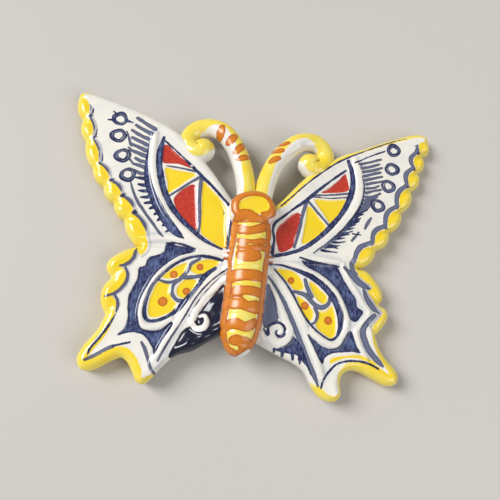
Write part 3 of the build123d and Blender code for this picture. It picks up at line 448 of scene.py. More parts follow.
# The inner lobe that swells and is painted nearly black: its dark paint, darkened further as painted shade
INK_AND_SHADE_GROUND = {"left": INNER_GROUND["left"], "right": []}

# Fringe: where a stroke starts along its line, how its length and its bend vary, and the lengths allowed
COMB_SEED = 7
COMB_START = 0.14
COMB_LENGTH_SPREAD = 0.12
COMB_BEND = 0.25
COMB_LENGTHS = (0.75, 1.15)
# Rings: half width of the thinned stroke, then the offset and half width of the dark lines beside it
RING_STROKE = 0.7
RING_OUTER = (0.5, 0.34)
RING_INNER = (-0.6, 0.22)

# Outline of the wings
EDGE_STEP = 0.1
LOBE_POINTS = 90
LOBE_SHAPE = 0.85
ROOT_STEP = 1.0
# Offsets of the rows of points inside an edge
EDGE_ROWS = (0.12, 0.3, 0.55, 0.85, 1.2, 1.6, 2.05, 2.55)
LOOP_STEP_SHARE = 1.1
BACK_STEP = 1.6
# Share of a wall's fall and how far it is tucked in there
WING_WALL = ((0.25, 0.0), (0.5, 0.03), (0.75, 0.12), (0.92, 0.3), (1.0, 0.6))
HEAD_WALL = ((0.2, -0.1), (0.45, -0.15), (0.7, 0.1), (0.88, 0.7), (0.97, 1.8), (1.0, 3.0))
# How fast paint ends down a wall: yellow on the wings, the neck's orange, and the rest
YELLOW_FADE = 0.7
NECK_FADE = 0.3
PAINT_FADE = 4.0

# Relief of the wings
ROLL_SHAPE = 2.2
PAD_CREST = 2.4
PAD_SPREAD = 1.7
TAIL_SWELL = 0.6
CREASE_AIM = (28.0, 2.0)
CREASE_WIDTH = 0.8
CREASE_FLARE = 0.12
CREASE_LENGTH = 10.0
CREASE_RISE = (-3.0, 0.0)
CREASE_FALL = (1.5, 7.0)
RELIEF_START = (2.0, 4.5)
PANEL_WALL = (-0.9, 0.5)
RIDGE_WALL = (-0.8, 0.9)
BULGE_SPAN = (0.0, 4.0)
LUMP_SHARE = 0.16
WAVE_HEIGHT = 0.12
ROOT_SWELL = 1.6
ROOT_LINE = 7.4
ROOT_SPREAD = 1.1
ROOT_START = (0.5, 4.0)
DISH_START = (6.5, 10.0)
# Painted shade in the creases beside the raised lines: distance, spread and strength
CREASE_SHADE_TINT = (0.8, 0.7, 0.7)

# Head, body and antennae
HEAD_LOOP_STEP = 0.35
HEAD_STEP = 0.32
HEAD_ROLL = 3.2
HEAD_FALL = 3.6
HEAD_FLOOR = 3.6
HEAD_MIDDLE = 11.0
PATCH_SINK = 0.5
PATCH_WALL = (-1.0, 0.5)
PATCH_SPREAD = 0.9
HEAD_BRUSH = 0.3
NECK_LINE = 7.0
NECK_SHARE = 0.6
BODY_START = 8.0
BODY_CAP = -40.0
BODY_TAPER_SHAPE = 2.3
BODY_ROWS = 140
CAP_ROWS = 24
BODY_AROUND = 96
GROOVE_DEPTH = 0.3
GROOVE_WIDTH = 0.8
BODY_BRUSH = 0.35
BODY_THINNING = 0.6
ANTENNA_STEP = 0.35
ANTENNA_AROUND = 40
ANTENNA_FLOOR = 0.3
ANTENNA_THINNING = 1.2
# Where the yellow stops lying on the outer half of an antenna, and where it turns to the inner half
LEAN_END = (0.72, 0.84)
LEAN_TURN = (0.86, 0.94)

PAINTS = ["yellow", "red", "orange", "shade", "wash", "navy", "edge", "inner", "hollow"]
# What each layer holds where there is none of it
BARE = {layer: 0.0 if layer == "hollow" else FAR for layer in PAINTS}
LEAD_EDGE, FORE_EDGE, HIND_EDGE, TAIL_EDGE = range(4)

# Camera of the photographed view, in the model's frame
CAMERA_PLACE = (-0.01675, -0.05450, 0.20386)
CAMERA_RIGHT = (0.99128, 0.07541, 0.10806)
CAMERA_UP = (-0.10044, 0.96323, 0.24920)
CAMERA_LENS = 37.44

# Stage in metres; each light has a name, the side it shines from, the angle it spreads over and its power
FLOOR_HALF = 20.0
WORLD_COLOUR = (0.97, 0.97, 1.0, 1.0)
WORLD_STRENGTH = 0.3
LIGHTS = [("key_light", (-0.52, 0.16, 0.46), 31.0, 3.0), ("fill_light", (0.5, -0.3, 0.5), 44.0, 1.1)]


def srgb(red, green, blue):
    """Linear colour of an 8-bit screen colour."""
    return tuple(((c / 255 + 0.055) / 1.055) ** 2.4 for c in (red, green, blue))


def length(name, description, millimetres):
    """Property that holds a length."""
    return FloatProperty(name=name, description=description, default=millimetres * MM, min=0.0,
                         unit="LENGTH", precision=5)


def colour(name, description, *screen):
    """Property that holds a colour."""
    return FloatVectorProperty(name=name, description=description, default=srgb(*screen), min=0.0, max=1.0,
                               size=3, subtype="COLOR")


class ButterflySizes(bpy.types.PropertyGroup):
    """Sizes of the glazed surfaces."""

    mesh_step: length("Mesh step", "Spacing of the points over the wings", 0.32)
    wing_thickness: length("Wing thickness", "Height of the wing above its flat underside", 8.0)
    wing_root_level: length("Root level", "Height of the wing's underside at the middle of the body", 4.763)
    wing_droop: FloatProperty(name="Droop", description="Angle at which the wings fall from the body",
                              default=math.radians(5.0), subtype="ANGLE")
    roll_radius: length("Roll radius", "Width of the rolled edge, seen from above", 4.0)
    roll_depth: length("Roll depth", "Fall of the rolled edge to the outline", 3.4)
    crease_depth: length("Crease depth", "Depth of the creases between lobes", 0.9)
    pad_puff: length("Pad puff", "Swell of each lobe's pad", 0.45)
    panel_sink: length("Panel sink", "Depth of the painted panels", 0.5)
    ridge_height: length("Ridge height", "Height of the raised lines", 0.75)
    inner_bulge: length("Inner bulge", "Swell of the dark inner lobe", 1.3)
    dish_depth: length("Dish depth", "Hollow under the wings", 3.2)
    body_radius: length("Body radius", "Radius of the body", 8.0)
    head_height: length("Head height", "Height of the head's top above the table", 20.0)
    antenna_radius: length("Antenna radius", "Radius of the antennae at their roots", 3.75)


class ButterflyColours(bpy.types.PropertyGroup):
    """Colours of the clay, the paints and the table."""

    white: colour("White", "White glaze", 238, 233, 221)
    # Greyer white of the glaze's random mottle and of the painted shade in the creases beside the raised lines
    mottle_and_crease_shade_white: colour("Cool white", "White glaze where it lies thick", 206, 207, 206)
    yellow: colour("Yellow", "Yellow paint", 240, 207, 0)
    pale_yellow: colour("Pale yellow", "Yellow paint where it is thin", 234, 222, 112)
    red: colour("Red", "Red paint", 182, 44, 32)
    red_streak: colour("Red streak", "Red paint where it is thin", 204, 82, 58)
    orange: colour("Orange", "Orange paint", 214, 126, 28)
    brown: colour("Brown", "Orange paint where it has pooled", 160, 60, 4)
    navy: colour("Navy", "Dark blue paint", 30, 36, 76)
    bright_blue: colour("Bright blue", "Dark blue paint where it is thin", 98, 112, 152)
    wash: colour("Wash", "Grey-blue thinned paint", 86, 96, 128)
    shade: colour("Shade", "Grey of the thinnest paint", 150, 150, 162)
    # Nearly black of the inner lobe: its dark blue paint, darkened further as painted shade on the slope
    # turned from the light
    ink_and_shade: colour("Ink", "Blue-black paint of the inner lobes", 14, 14, 26)
    floor: colour("Floor", "Table top", 196, 192, 186)


class Wire:
    """An output of a material's nodes, whose arithmetic adds Math nodes to the same tree."""

    def __init__(self, tree, socket=None):
        self.tree = tree
        self.socket = socket

    def make(self, kind, settings, inputs, output=0):
        """Adds a node, sets its settings, then sets or links its inputs, and gives one of its outputs."""
        node = self.tree.nodes.new(kind)
        for name, value in settings.items():
            setattr(node, name, value)
        for key, value in inputs.items():
            if isinstance(value, Wire):
                self.tree.links.new(value.socket, node.inputs[key])
            else:
                node.inputs[key].default_value = value
        return Wire(self.tree, None if output is None else node.outputs[output])

    def maths(self, operation, *values, clamp=False):
        """A Math node over values and wires."""
        settings = {"operation": operation, "use_clamp": clamp}
        return self.make("ShaderNodeMath", settings, dict(enumerate(values)))

    def __add__(self, other):
        return self.maths("ADD", self, other)

    def __radd__(self, other):
        return self.maths("ADD", other, self)

    def __sub__(self, other):
        return self.maths("SUBTRACT", self, other)

    def __rsub__(self, other):
        return self.maths("SUBTRACT", other, self)

    def __mul__(self, other):
        return self.maths("MULTIPLY", self, other)

    def __rmul__(self, other):
        return self.maths("MULTIPLY", other, self)

    def __truediv__(self, other):
        return self.maths("DIVIDE", self, other)

    def __rtruediv__(self, other):
        return self.maths("DIVIDE", other, self)

    def clamped(self):
        """The value held between 0 and 1."""
        return self.maths("ADD", self, 0.0, clamp=True)

    def mixed(self, factor, other):
        """This colour where factor is 0, and other where it is 1."""
        return self.make("ShaderNodeMix", {"data_type": "RGBA"}, {0: factor, 6: self, 7: other}, 2)


def glaze_material(name, colours):
    """White glaze with brushed paints, each bounded by a distance kept on the surface."""
    material = bpy.data.materials.new(name)
    material.use_nodes = True
    tree = material.node_tree
    tree.nodes.clear()
    pen = Wire(tree)
    place = pen.make("ShaderNodeTexCoord", {}, {}, "Object")
    scaled = pen.make("ShaderNodeVectorMath", {"operation": "SCALE"}, {0: place, "Scale": 1 / MM})

    def noise(millimetres, detail=2.0, stretch=(1.0, 1.0, 1.0)):
        """Noise with grains of about this size."""
        spot = pen.make("ShaderNodeVectorMath", {"operation": "MULTIPLY"}, {0: scaled, 1: stretch})
        return pen.make("ShaderNodeTexNoise", {}, {"Vector": spot, "Scale": 1 / millimetres, "Detail": detail})

    fine = noise(1.3)
    broad = noise(4.5)
    wobble = (fine - 0.5) * 0.35 + (broad - 0.5) * 0.5
    streak = noise(0.8, 3.0)
    brush = noise(0.9, 3.0, (1.6, 0.5, 1.0))
    cloud = noise(7.0, 3.0)
    gap = {paint: pen.make("ShaderNodeAttribute", {"attribute_name": paint}, {}, "Fac") for paint in PAINTS}

    def mask(paint, softness):
        """1 inside a paint, 0 outside, and a soft brushed edge between."""
        return (0.5 - (gap[paint] + wobble) / (2 * softness)).clamped()

    def pooled(paint, width):
        """1 along a paint's edge, where it has gathered, and 0 a width further in."""
        return (1.0 + (gap[paint] + wobble) / width).clamped()

    def between(factor, first, second):
        """A colour where factor is 0, and another where it is 1."""
        return pen.make("ShaderNodeMix", {"data_type": "RGBA"},
                        {0: factor, 6: (*first, 1.0), 7: (*second, 1.0)}, 2)

    # Glaze and light paints
    # White glaze, greyer in a random mottle and with painted shade in the creases beside the raised lines
    paint = between((cloud * 1.2 - 0.4 + gap["hollow"]).clamped(), colours.white, colours.mottle_and_crease_shade_white)
    thin = ((3.9 - gap["edge"]) * 0.3).clamped() * (broad * 2.2 - 0.6).clamped()
    yellow = between(thin, colours.yellow, colours.pale_yellow)
    paint = paint.mixed(mask("yellow", 0.2) * (0.94 + 0.06 * broad), yellow)
    streaked = (streak * 2.2 - 0.9).clamped() * (1.0 - 0.6 * pooled("red", 0.8))
    paint = paint.mixed(mask("red", 0.14), between(streaked, colours.red, colours.red_streak))
    gathered = (pooled("orange", 0.7) * 0.8 + streak * 0.9 - 0.35).clamped()
    paint = paint.mixed(mask("orange", 0.16), between(gathered, colours.orange, colours.brown))

    # Blues, from the thinnest to the darkest
    paint = paint.mixed(mask("shade", 0.35) * (0.5 + 0.5 * streak), (*colours.shade, 1.0))
    thinned = (0.95 - pooled("wash", 0.8) + (streak - 0.5) * 1.6).clamped()
    wash = between(thinned, colours.navy, colours.wash)
    paint = paint.mixed(mask("wash", 0.14) * (0.86 + 0.14 * streak), wash)
    # The inner lobe goes nearly black: its dark paint, darkened further as painted shade
    dark = (1.2 - gap["inner"] * 0.5).clamped()
    tone = (brush * 2.6 - 0.9 + (broad - 0.5) * 1.6 - 0.5 * pooled("navy", 1.1) - dark).clamped()
    blue = between(tone, colours.navy, colours.bright_blue).mixed(dark * 0.75, (*colours.ink_and_shade, 1.0))
    paint = paint.mixed(mask("navy", 0.1), blue)

    # Thick paints stand a little above the glaze
    orange = mask("orange", 0.2)
    painted = 1.0 - (1.0 - mask("navy", 0.2)) * (1.0 - mask("red", 0.2)) * (1.0 - orange)
    peel = noise(1.8, 1.0) * 0.012 + painted * 0.02 + cloud * 0.03
    bump = pen.make("ShaderNodeBump", {}, {"Strength": 0.6, "Distance": MM, "Height": peel})
    surface = pen.make("ShaderNodeBsdfPrincipled", {},
                       {"Base Color": paint, "Roughness": 0.13 + 0.08 * fine + 0.14 * orange, "IOR": 1.52,
                        "Coat Weight": 0.25, "Coat Roughness": 0.06, "Normal": bump})
    pen.make("ShaderNodeOutputMaterial", {}, {"Surface": surface}, None)
    return material


def smooth(points, closed=False, step=0.5):
    """A rounded line through points, with any further columns carried along it."""
    points = np.array(points, float)
    if closed:
        chain = np.vstack([points[-1:], points, points[:2]])
    else:
        chain = np.vstack([2 * points[:1] - points[1:2], points, 2 * points[-1:] - points[-2:-1]])
    line = []
    for a, b, c, d in zip(chain, chain[1:], chain[2:], chain[3:]):
        gaps = [max(math.hypot(*(q - p)[:2]), 1e-6) for p, q in ((a, b), (b, c), (c, d))]
        t0, t1, t2, t3 = np.cumsum([0.0] + [g ** 0.5 for g in gaps])
        count = max(1, math.ceil(gaps[1] / step))
        t = (t1 + (t2 - t1) * np.arange(count) / count)[:, None]
        first = a * (t1 - t) / (t1 - t0) + b * (t - t0) / (t1 - t0)
        middle = b * (t2 - t) / (t2 - t1) + c * (t - t1) / (t2 - t1)
        last = c * (t3 - t) / (t3 - t2) + d * (t - t2) / (t3 - t2)
        early = first * (t2 - t) / (t2 - t0) + middle * (t - t0) / (t2 - t0)
        late = middle * (t3 - t) / (t3 - t1) + last * (t - t1) / (t3 - t1)
        line.append(early * (t2 - t) / (t2 - t1) + late * (t - t1) / (t2 - t1))
    if not closed:
        line.append(points[-1:])
    return np.vstack(line)


def resample(line, step):
    """Evenly spaced points along a line, with its columns carried along."""
    run = np.concatenate([[0.0], np.cumsum(np.hypot(*np.diff(line[:, :2], axis=0).T))])
    share = np.linspace(0.0, run[-1], max(2, round(run[-1] / step) + 1))
    return np.column_stack([np.interp(share, run, column) for column in line.T])


def step_up(low, high, value):
    """0 below low, 1 above high, and a smooth rise between."""
    t = np.clip((value - low) / (high - low), 0.0, 1.0)
    return t * t * (3 - 2 * t)


def profile(share, pairs):
    """Value at each share of a curve given as pairs of share and value."""
    return np.interp(share, *np.array(pairs).T)


def rolled(gap, radius):
    """Share of a rolled edge's fall at a distance from the edge: 1 on it, 0 a radius further in."""
    q = np.clip(1.0 - gap / radius, 0.0, 1.0)
    return 1.0 - (1.0 - q ** ROLL_SHAPE) ** (1 / ROLL_SHAPE)


def stroke_gap(points, line):
    """Distance from each point to a stroke's edge, negative inside; the third column is the half width."""
    gap = np.full(len(points), FAR)
    for a, b in zip(line, line[1:]):
        reach = max(a[2], b[2]) + FAR
        low = np.minimum(a[:2], b[:2]) - reach
        high = np.maximum(a[:2], b[:2]) + reach
        near = np.flatnonzero((points[:, 0] > low[0]) & (points[:, 0] < high[0])
                              & (points[:, 1] > low[1]) & (points[:, 1] < high[1]))
        run = b[:2] - a[:2]
        away = points[near] - a[:2]
        t = np.clip(away @ run / max(run @ run, 1e-9), 0.0, 1.0)
        off = away - t[:, None] * run
        gap[near] = np.minimum(gap[near], np.hypot(off[:, 0], off[:, 1]) - a[2] - t * (b[2] - a[2]))
    return gap


def inside(points, ring):
    """Whether each point lies in a closed ring."""
    within = np.zeros(len(points), bool)
    for a, b in zip(ring, np.roll(ring, -1, axis=0)):
        spans = (a[1] > points[:, 1]) != (b[1] > points[:, 1])
        if a[1] != b[1]:
            cross = a[0] + (points[:, 1] - a[1]) * (b[0] - a[0]) / (b[1] - a[1])
            within ^= spans & (points[:, 0] < cross)
    return within


def outline(ring):
    """A closed ring as a stroke without width."""
    closed = np.vstack([ring, ring[:1]])
    return np.column_stack([closed, np.zeros(len(closed))])


def patch_gap(points, corners):
    """Distance from each point to a closed patch's edge, negative inside."""
    ring = smooth(corners, closed=True)
    gap = stroke_gap(points, outline(ring))
    return np.where(inside(points, ring), -gap, gap)


def least(points, strokes=(), patches=()):
    """Distance to the nearest of several strokes and patches."""
    gap = np.full(len(points), FAR)
    for stroke in strokes:
        gap = np.minimum(gap, stroke_gap(points, smooth(stroke)))
    for patch in patches:
        gap = np.minimum(gap, patch_gap(points, patch))
    return gap


def free_edge(side, wing):
    """Outline of a wing's free edge as x, y, kind of stretch and share along its lobe."""
    stretches = []
    if wing == "forewing":
        stretches.append((resample(smooth(LEAD[side], step=EDGE_STEP), EDGE_STEP), LEAD_EDGE))
        valleys = np.array(FORE_VALLEYS[side])
        for a, b in zip(valleys, valleys[1:]):
            run = (b - a) / math.hypot(*(b - a))
            t = np.linspace(0.0, 1.0, LOBE_POINTS)[:, None]
            bow = FORE_BULGE[side] * np.sin(math.pi * t) ** LOBE_SHAPE
            stretches.append((a + (b - a) * t + bow * np.array([-run[1], run[0]]), FORE_EDGE))
    else:
        for lobe in HIND_LOBES[side]:
            stretches.append((smooth(lobe, step=EDGE_STEP), HIND_EDGE))
        stretches.append((smooth(TAILS[side], step=EDGE_STEP), TAIL_EDGE))
    rows = []
    for line, kind in stretches:
        line = resample(line, EDGE_STEP)
        share = np.linspace(0.0, 1.0, len(line))
        rows.append(np.column_stack([line, np.full(len(line), kind), share])[:-1])
    rows.append(np.array([[*stretches[-1][0][-1], stretches[-1][1], 1.0]]))
    return np.vstack(rows)


def piece_loop(side, wing, step):
    """Closed outline of a wing, and which of its points lie on the free edge."""
    notch = FORE_VALLEYS[side][-1]
    seam = resample(smooth(SEAM + [notch]), step)
    edge = resample(free_edge(side, wing)[:, :2], step)
    if wing == "forewing":
        root = resample(np.array([SEAM[0], LEAD[side][0]]), ROOT_STEP)
        parts = [(edge, True), (seam[::-1], False), (root, False)]
    else:
        root = resample(np.array([TAILS[side][-1], SEAM[0]]), ROOT_STEP)
        parts = [(seam, False), (edge, True), (root, False)]
    loop = np.vstack([line[:-1] for line, free in parts])
    free = np.concatenate([np.full(len(line) - 1, free) for line, free in parts])
    return loop, free


def nearest_edge(side, points):
    """For each point: distance to the free edge of the side, kind of stretch and share along its lobe."""
    edge = np.vstack([free_edge(side, "forewing"), free_edge(side, "hindwing")])
    tree = KDTree(len(edge))
    for index, row in enumerate(edge):
        tree.insert((row[0], row[1], 0.0), index)
    tree.balance()
    found = [tree.find((x, y, 0.0)) for x, y in points]
    order = np.array([hit[1] for hit in found])
    return np.array([hit[2] for hit in found]), edge[order, 2], edge[order, 3]


def lobe_place(side, points):
    """Depth inside the forewing's lobed margin, share along the lobe and its chord, square to that chord."""
    edge = free_edge(side, "forewing")
    rim = edge[edge[:, 2] == FORE_EDGE]
    lobes = np.split(rim, np.flatnonzero(np.diff(rim[:, 3]) < 0) + 1)
    nearest = np.full(len(points), np.inf)
    depth, share, size = np.zeros((3, len(points)))
    for lobe in lobes:
        start, end = lobe[0, :2], lobe[-1, :2]
        chord = math.hypot(*(end - start))
        run = (end - start) / chord
        inner = np.array([run[1], -run[0]])
        bow_share = (lobe[:, :2] - start) @ run / chord
        bow = (lobe[:, :2] - start) @ inner
        t = (points - start) @ run / chord
        fall = (points - start) @ inner
        held = np.clip(t, 0.0, 1.0)
        off = np.hypot(fall, (t - held) * chord)
        closer = off < nearest
        nearest[closer] = off[closer]
        depth[closer] = np.where(t == held, fall - np.interp(held, bow_share, bow), off)[closer]
        share[closer] = held[closer]
        size[closer] = chord
    return depth, share, size


def inward(loop):
    """Unit normals of a clockwise loop, towards its inside."""
    run = np.roll(loop, -1, axis=0) - np.roll(loop, 1, axis=0)
    run /= np.maximum(np.hypot(run[:, 0], run[:, 1]), 1e-9)[:, None]
    return np.column_stack([run[:, 1], -run[:, 0]])


def fill_points(loop, free, offsets, step):
    """Points inside a loop: rows along its free edge, then an even grid."""
    normals = inward(loop)
    edge = loop[free]
    rows = []
    for offset in offsets:
        row = edge + normals[free] * offset
        clear = stroke_gap(row, outline(loop)) > 0.97 * offset
        rows.append(row[clear & inside(row, loop)])
    low = loop.min(0)
    high = loop.max(0)
    across = np.arange(low[0], high[0], step)
    up = np.arange(low[1], high[1], step * math.sqrt(0.75))
    grid = np.array([(x + (row % 2) * step / 2, y) for row, y in enumerate(up) for x in across])
    grid = grid[inside(grid, loop)]
    keep = stroke_gap(grid, outline(loop)) > 0.55 * step
    edge_line = np.column_stack([edge, np.zeros(len(edge))])
    keep &= stroke_gap(grid, edge_line) > max(offsets, default=0.0) + 0.6 * step
    rows.append(grid[keep])
    return np.vstack(rows)


def triangulate(loop, points):
    """Triangles over the inside of a loop, and the numbers of the loop's own points."""
    everything = np.vstack([loop, points])
    count = len(loop)
    edges = [(index, (index + 1) % count) for index in range(count)]
    found = delaunay_2d_cdt([Vector(p) for p in everything.tolist()], edges, [], 1, 1e-5)
    place = np.array([tuple(v) for v in found[0]])
    source = [origins[0] if origins else -1 for origins in found[3]]
    order = {origin: index for index, origin in enumerate(source)}
    rim = [order[index] for index in range(count)]
    return place, [tuple(face) for face in found[2]], rim


def band_faces(rows):
    """Quads between closed rows of point numbers."""
    faces = []
    for upper, under in zip(rows, rows[1:]):
        for a in range(len(upper)):
            b = (a + 1) % len(upper)
            faces.append((upper[a], upper[b], under[b], under[a]))
    return faces


def tube_faces(count, around):
    """Quads round a tube with so many rows of points, and its two ends."""
    rows = np.arange(count * around).reshape(count, around).tolist()
    return [*band_faces(rows), tuple(rows[0][::-1]), tuple(rows[-1])]


def wall(loop, free, crown, lower, steps):
    """Rows of points down a wall, from the level of its crown to its lower level."""
    normals = inward(loop)
    rows = []
    for share, tuck in steps:
        ring = loop + normals * np.where(free, tuck, 0.0)[:, None]
        rows.append(np.column_stack([ring, crown + (lower - crown) * share]))
    return rows


def wall_numbers(rim, first, count):
    """Point numbers of a wall's rows, from the rim down, where the rows' own points start at first."""
    below = np.arange(first, first + count * len(rim)).reshape(count, len(rim))
    return [rim, *below.tolist()]


def wing_relief(side, points, edge, sizes):
    """Height of the glazed surface above the wing's flat underside."""
    gap, kind, share = edge
    x, y = points.T
    height = sizes.wing_thickness / MM - sizes.roll_depth / MM * rolled(gap, sizes.roll_radius / MM)
    lobed = (kind == FORE_EDGE) | (kind == HIND_EDGE)
    swell = np.where(lobed, np.sin(math.pi * share), TAIL_SWELL)
    height += sizes.pad_puff / MM * swell * np.exp(-((gap - PAD_CREST) / PAD_SPREAD) ** 2)
    valleys = [*FORE_VALLEYS[side][1:], *[lobe[-1] for lobe in HIND_LOBES[side]]]
    for valley in np.array(valleys):
        aim = np.array(CREASE_AIM) - valley
        aim /= math.hypot(*aim)
        away = points - valley
        along = away @ aim
        across = away[:, 0] * aim[1] - away[:, 1] * aim[0]
        width = CREASE_WIDTH + CREASE_FLARE * np.clip(along, 0.0, CREASE_LENGTH)
        fade = step_up(*CREASE_RISE, along) * (1.0 - step_up(*CREASE_FALL, along))
        height -= CREASE_SHARE[side] * sizes.crease_depth / MM * fade * np.exp(-(across / width) ** 2)
    inner = step_up(*RELIEF_START, gap)
    sunk = least(points, patches=[*RED_PANELS[side], *YELLOW_PANELS[side], *LEAF_PANELS[side], *FIELDS[side],
                                  *INNER_GROUND[side], *WASH_GROUND[side]])
    height -= sizes.panel_sink / MM * inner * (1.0 - step_up(*PANEL_WALL, sunk))
    raised = least(points, strokes=[*RIDGES[side], CURL[side]])
    height += sizes.ridge_height / MM * inner * (1.0 - step_up(*RIDGE_WALL, raised))
    bulge = step_up(*BULGE_SPAN, -least(points, patches=INK_AND_SHADE_GROUND[side]))
    lumps = np.sin(x / 1.3 + y / 2.4) * np.sin(y / 1.5 - x / 3.1)
    height += sizes.inner_bulge / MM * bulge * (1.0 + LUMP_SHARE * lumps)
    wave = np.sin(x / 5.3 + y / 8.1) * np.sin(y / 6.7 - x / 11.0)
    height += WAVE_HEIGHT * inner * wave
    root = np.exp(-np.maximum(x - ROOT_LINE, 0.0) / ROOT_SPREAD)
    height += ROOT_SWELL * root * step_up(*ROOT_START, gap)
    return height


def pad_width(side, points, kind, share, lobe_share):
    """How far the yellow of the margin reaches in from the edge, apart from the hindwing lobes."""
    valley, lobe, low = PAD_FORE[side]
    fore = valley + lobe * np.sin(math.pi * lobe_share) + low * (1.0 - step_up(*PAD_LOW_SPAN, points[:, 1]))
    lead = profile(share, PAD_LEAD[side])
    tail = profile(share, PAD_TAIL[side])
    return np.where(kind == FORE_EDGE, fore, np.where(kind == LEAD_EDGE, lead, tail))


def band(distance, middle, half):
    """Distance to the edge of a line that keeps a set distance from another, negative inside."""
    return np.abs(distance - middle) - half


def margin_lines(side, points, past, along, lobe_share):
    """Distances to the grey, the thinned and the dark lines beside the yellow of the forewing's margin."""
    if side == "right":
        dots = np.maximum(band(past, *RIGHT_DOT), band(along, *RIGHT_DOT_ALONG))
        return np.full(len(points), FAR), band(past, *RIGHT_BAND), dots
    low = 1.0 - step_up(*LEFT_LOW_SPAN, points[:, 1])
    hook_half = (LEFT_HOOK[1] + LEFT_HOOK_LOW * low) * (1.0 - step_up(0.45, 0.95, lobe_share)) - 0.05
    hook = band(past, LEFT_HOOK[0], hook_half)
    end_half = LEFT_END[1] * step_up(0.3, 0.9, lobe_share) * (1.0 - low) - 0.35
    end = band(past, LEFT_END[0], end_half)
    tick_half = LEFT_TICK_ALONG[1] * np.clip(1.0 - past / 2.6, 0.0, 1.0)
    tick = np.maximum(band(along, LEFT_TICK_ALONG[0], tick_half), band(past, *LEFT_TICK))
    shade_half = LEFT_SHADE[1] * np.sin(math.pi * (0.1 + 0.86 * lobe_share)) ** 0.5
    return band(past, LEFT_SHADE[0], shade_half), np.minimum(hook, tick), np.minimum(end, tick + 0.12)


def ring_stroke(centre, radius, width, start):
    """A brushed ring, a little out of round and of uneven width."""
    turn = np.linspace(0.0, 2 * math.pi * 1.04, 18) + start
    return [(centre[0] + radius * (1.04 + 0.09 * math.sin(2 * a + start)) * math.cos(a),
             centre[1] + radius * (0.96 + 0.07 * math.cos(3 * a)) * math.sin(a),
             width * (1.0 + 0.35 * math.sin(a + start))) for a in turn]


def ring_strokes(side):
    """The thinned strokes of a forewing's rings, and the dark lines along both sides of them."""
    radius = RING_RADIUS[side]
    thinned, dark = [], []
    for start, centre in enumerate(RINGS[side]):
        thinned.append(ring_stroke(centre, radius, RING_STROKE, start))
        dark.append(ring_stroke(centre, radius + RING_OUTER[0], RING_OUTER[1], start))
        dark.append(ring_stroke(centre, radius + RING_INNER[0], RING_INNER[1], start + 2))
    return thinned, dark


def comb(side):
    """Strokes of the fringe from the cell's edge outwards, the upper ones first."""
    dice = np.random.default_rng(COMB_SEED)
    roots = resample(smooth(COMB_ROOT[side]), 0.2)
    tips = resample(smooth(COMB_TIP[side]), 0.2)
    upper, lower = [], []
    for share in np.linspace(0.0, 1.0, COMB_STROKES[side]):
        root = roots[round(share * (len(roots) - 1))]
        tip = tips[round(share * (len(tips) - 1))]
        root = root + (tip - root) * COMB_START
        reach = 1.0 + COMB_LENGTH_SPREAD * dice.normal()
        middle = root + (tip - root) * 0.5 + dice.normal(size=2) * COMB_BEND
        end = root + (tip - root) * np.clip(reach, *COMB_LENGTHS)
        group, widths = (upper, COMB_WIDTHS[side][0]) if share < 0.5 else (lower, COMB_WIDTHS[side][1])
        group.append([(*place, width) for place, width in zip((root, middle, end), widths)])
    return upper, lower


def wing_paint(side, points, edge):
    """Distances to each paint over a wing."""
    gap, kind, share = edge
    fore = kind == FORE_EDGE
    hind = kind == HIND_EDGE
    depth, lobe_share, chord = lobe_place(side, points)
    past = np.where(fore, depth, gap) - pad_width(side, points, kind, share, lobe_share)
    past = np.where(hind, patch_gap(points, HIND_PADS[side]), past)
    lines = margin_lines(side, points, past, lobe_share * chord, lobe_share)
    shade, wash_line, navy_line = [np.where(fore, line, FAR) for line in lines]
    shade = np.where(hind, band(past, *HIND_SHADE_LINE), shade)
    ring_thinned, ring_dark = ring_strokes(side)
    upper, lower = comb(side)
    curl = least(points, strokes=[CURL[side]])
    navy = least(points, strokes=[FORE_CELL[side], FORE_CELL_LEAD[side], FRINGE_WEDGE[side], *lower,
                                  *ring_dark, *FORE_MARKS[side], LEAF[side], *HIND_LINES[side]],
                 patches=[*FIELDS[side], *INNER_GROUND[side]])
    navy = np.minimum(np.maximum(navy, -curl), least(points, strokes=CURL_LINES[side]))
    wash = least(points, strokes=[*DIVIDERS[side], *LEAF_DIVIDERS[side], *HIND_SHADES[side], *upper,
                                  *ring_thinned, *FRINGE_TRIM[side]], patches=WASH_GROUND[side])
    yellow = least(points, patches=[*YELLOW_PANELS[side], *LEAF_PANELS[side], *TAIL_YELLOW[side]])
    orange = least(points, strokes=ROOT_DABS)
    for x, y, radius in DOTS[side]:
        orange = np.minimum(orange, np.hypot(points[:, 0] - x, points[:, 1] - y) - radius)
    ridge = least(points, strokes=[*RIDGES[side], CURL[side]])
    middle, spread, strength = CREASE_SHADE_TINT
    return {
        "yellow": np.minimum(np.clip(past, -FAR, FAR), yellow),
        "red": least(points, patches=RED_PANELS[side]),
        "orange": orange,
        "shade": shade,
        "wash": np.minimum(np.maximum(wash, -curl), wash_line),
        "navy": np.minimum(navy, navy_line),
        "edge": np.minimum(gap, FAR),
        # Inner lobe painted nearly black, as dark paint and painted shade
        "inner": least(points, patches=INK_AND_SHADE_GROUND[side]),
        # Painted shade in the creases just outside the raised lines
        "hollow": np.exp(-((ridge - middle) / spread) ** 2) * strength,
    }


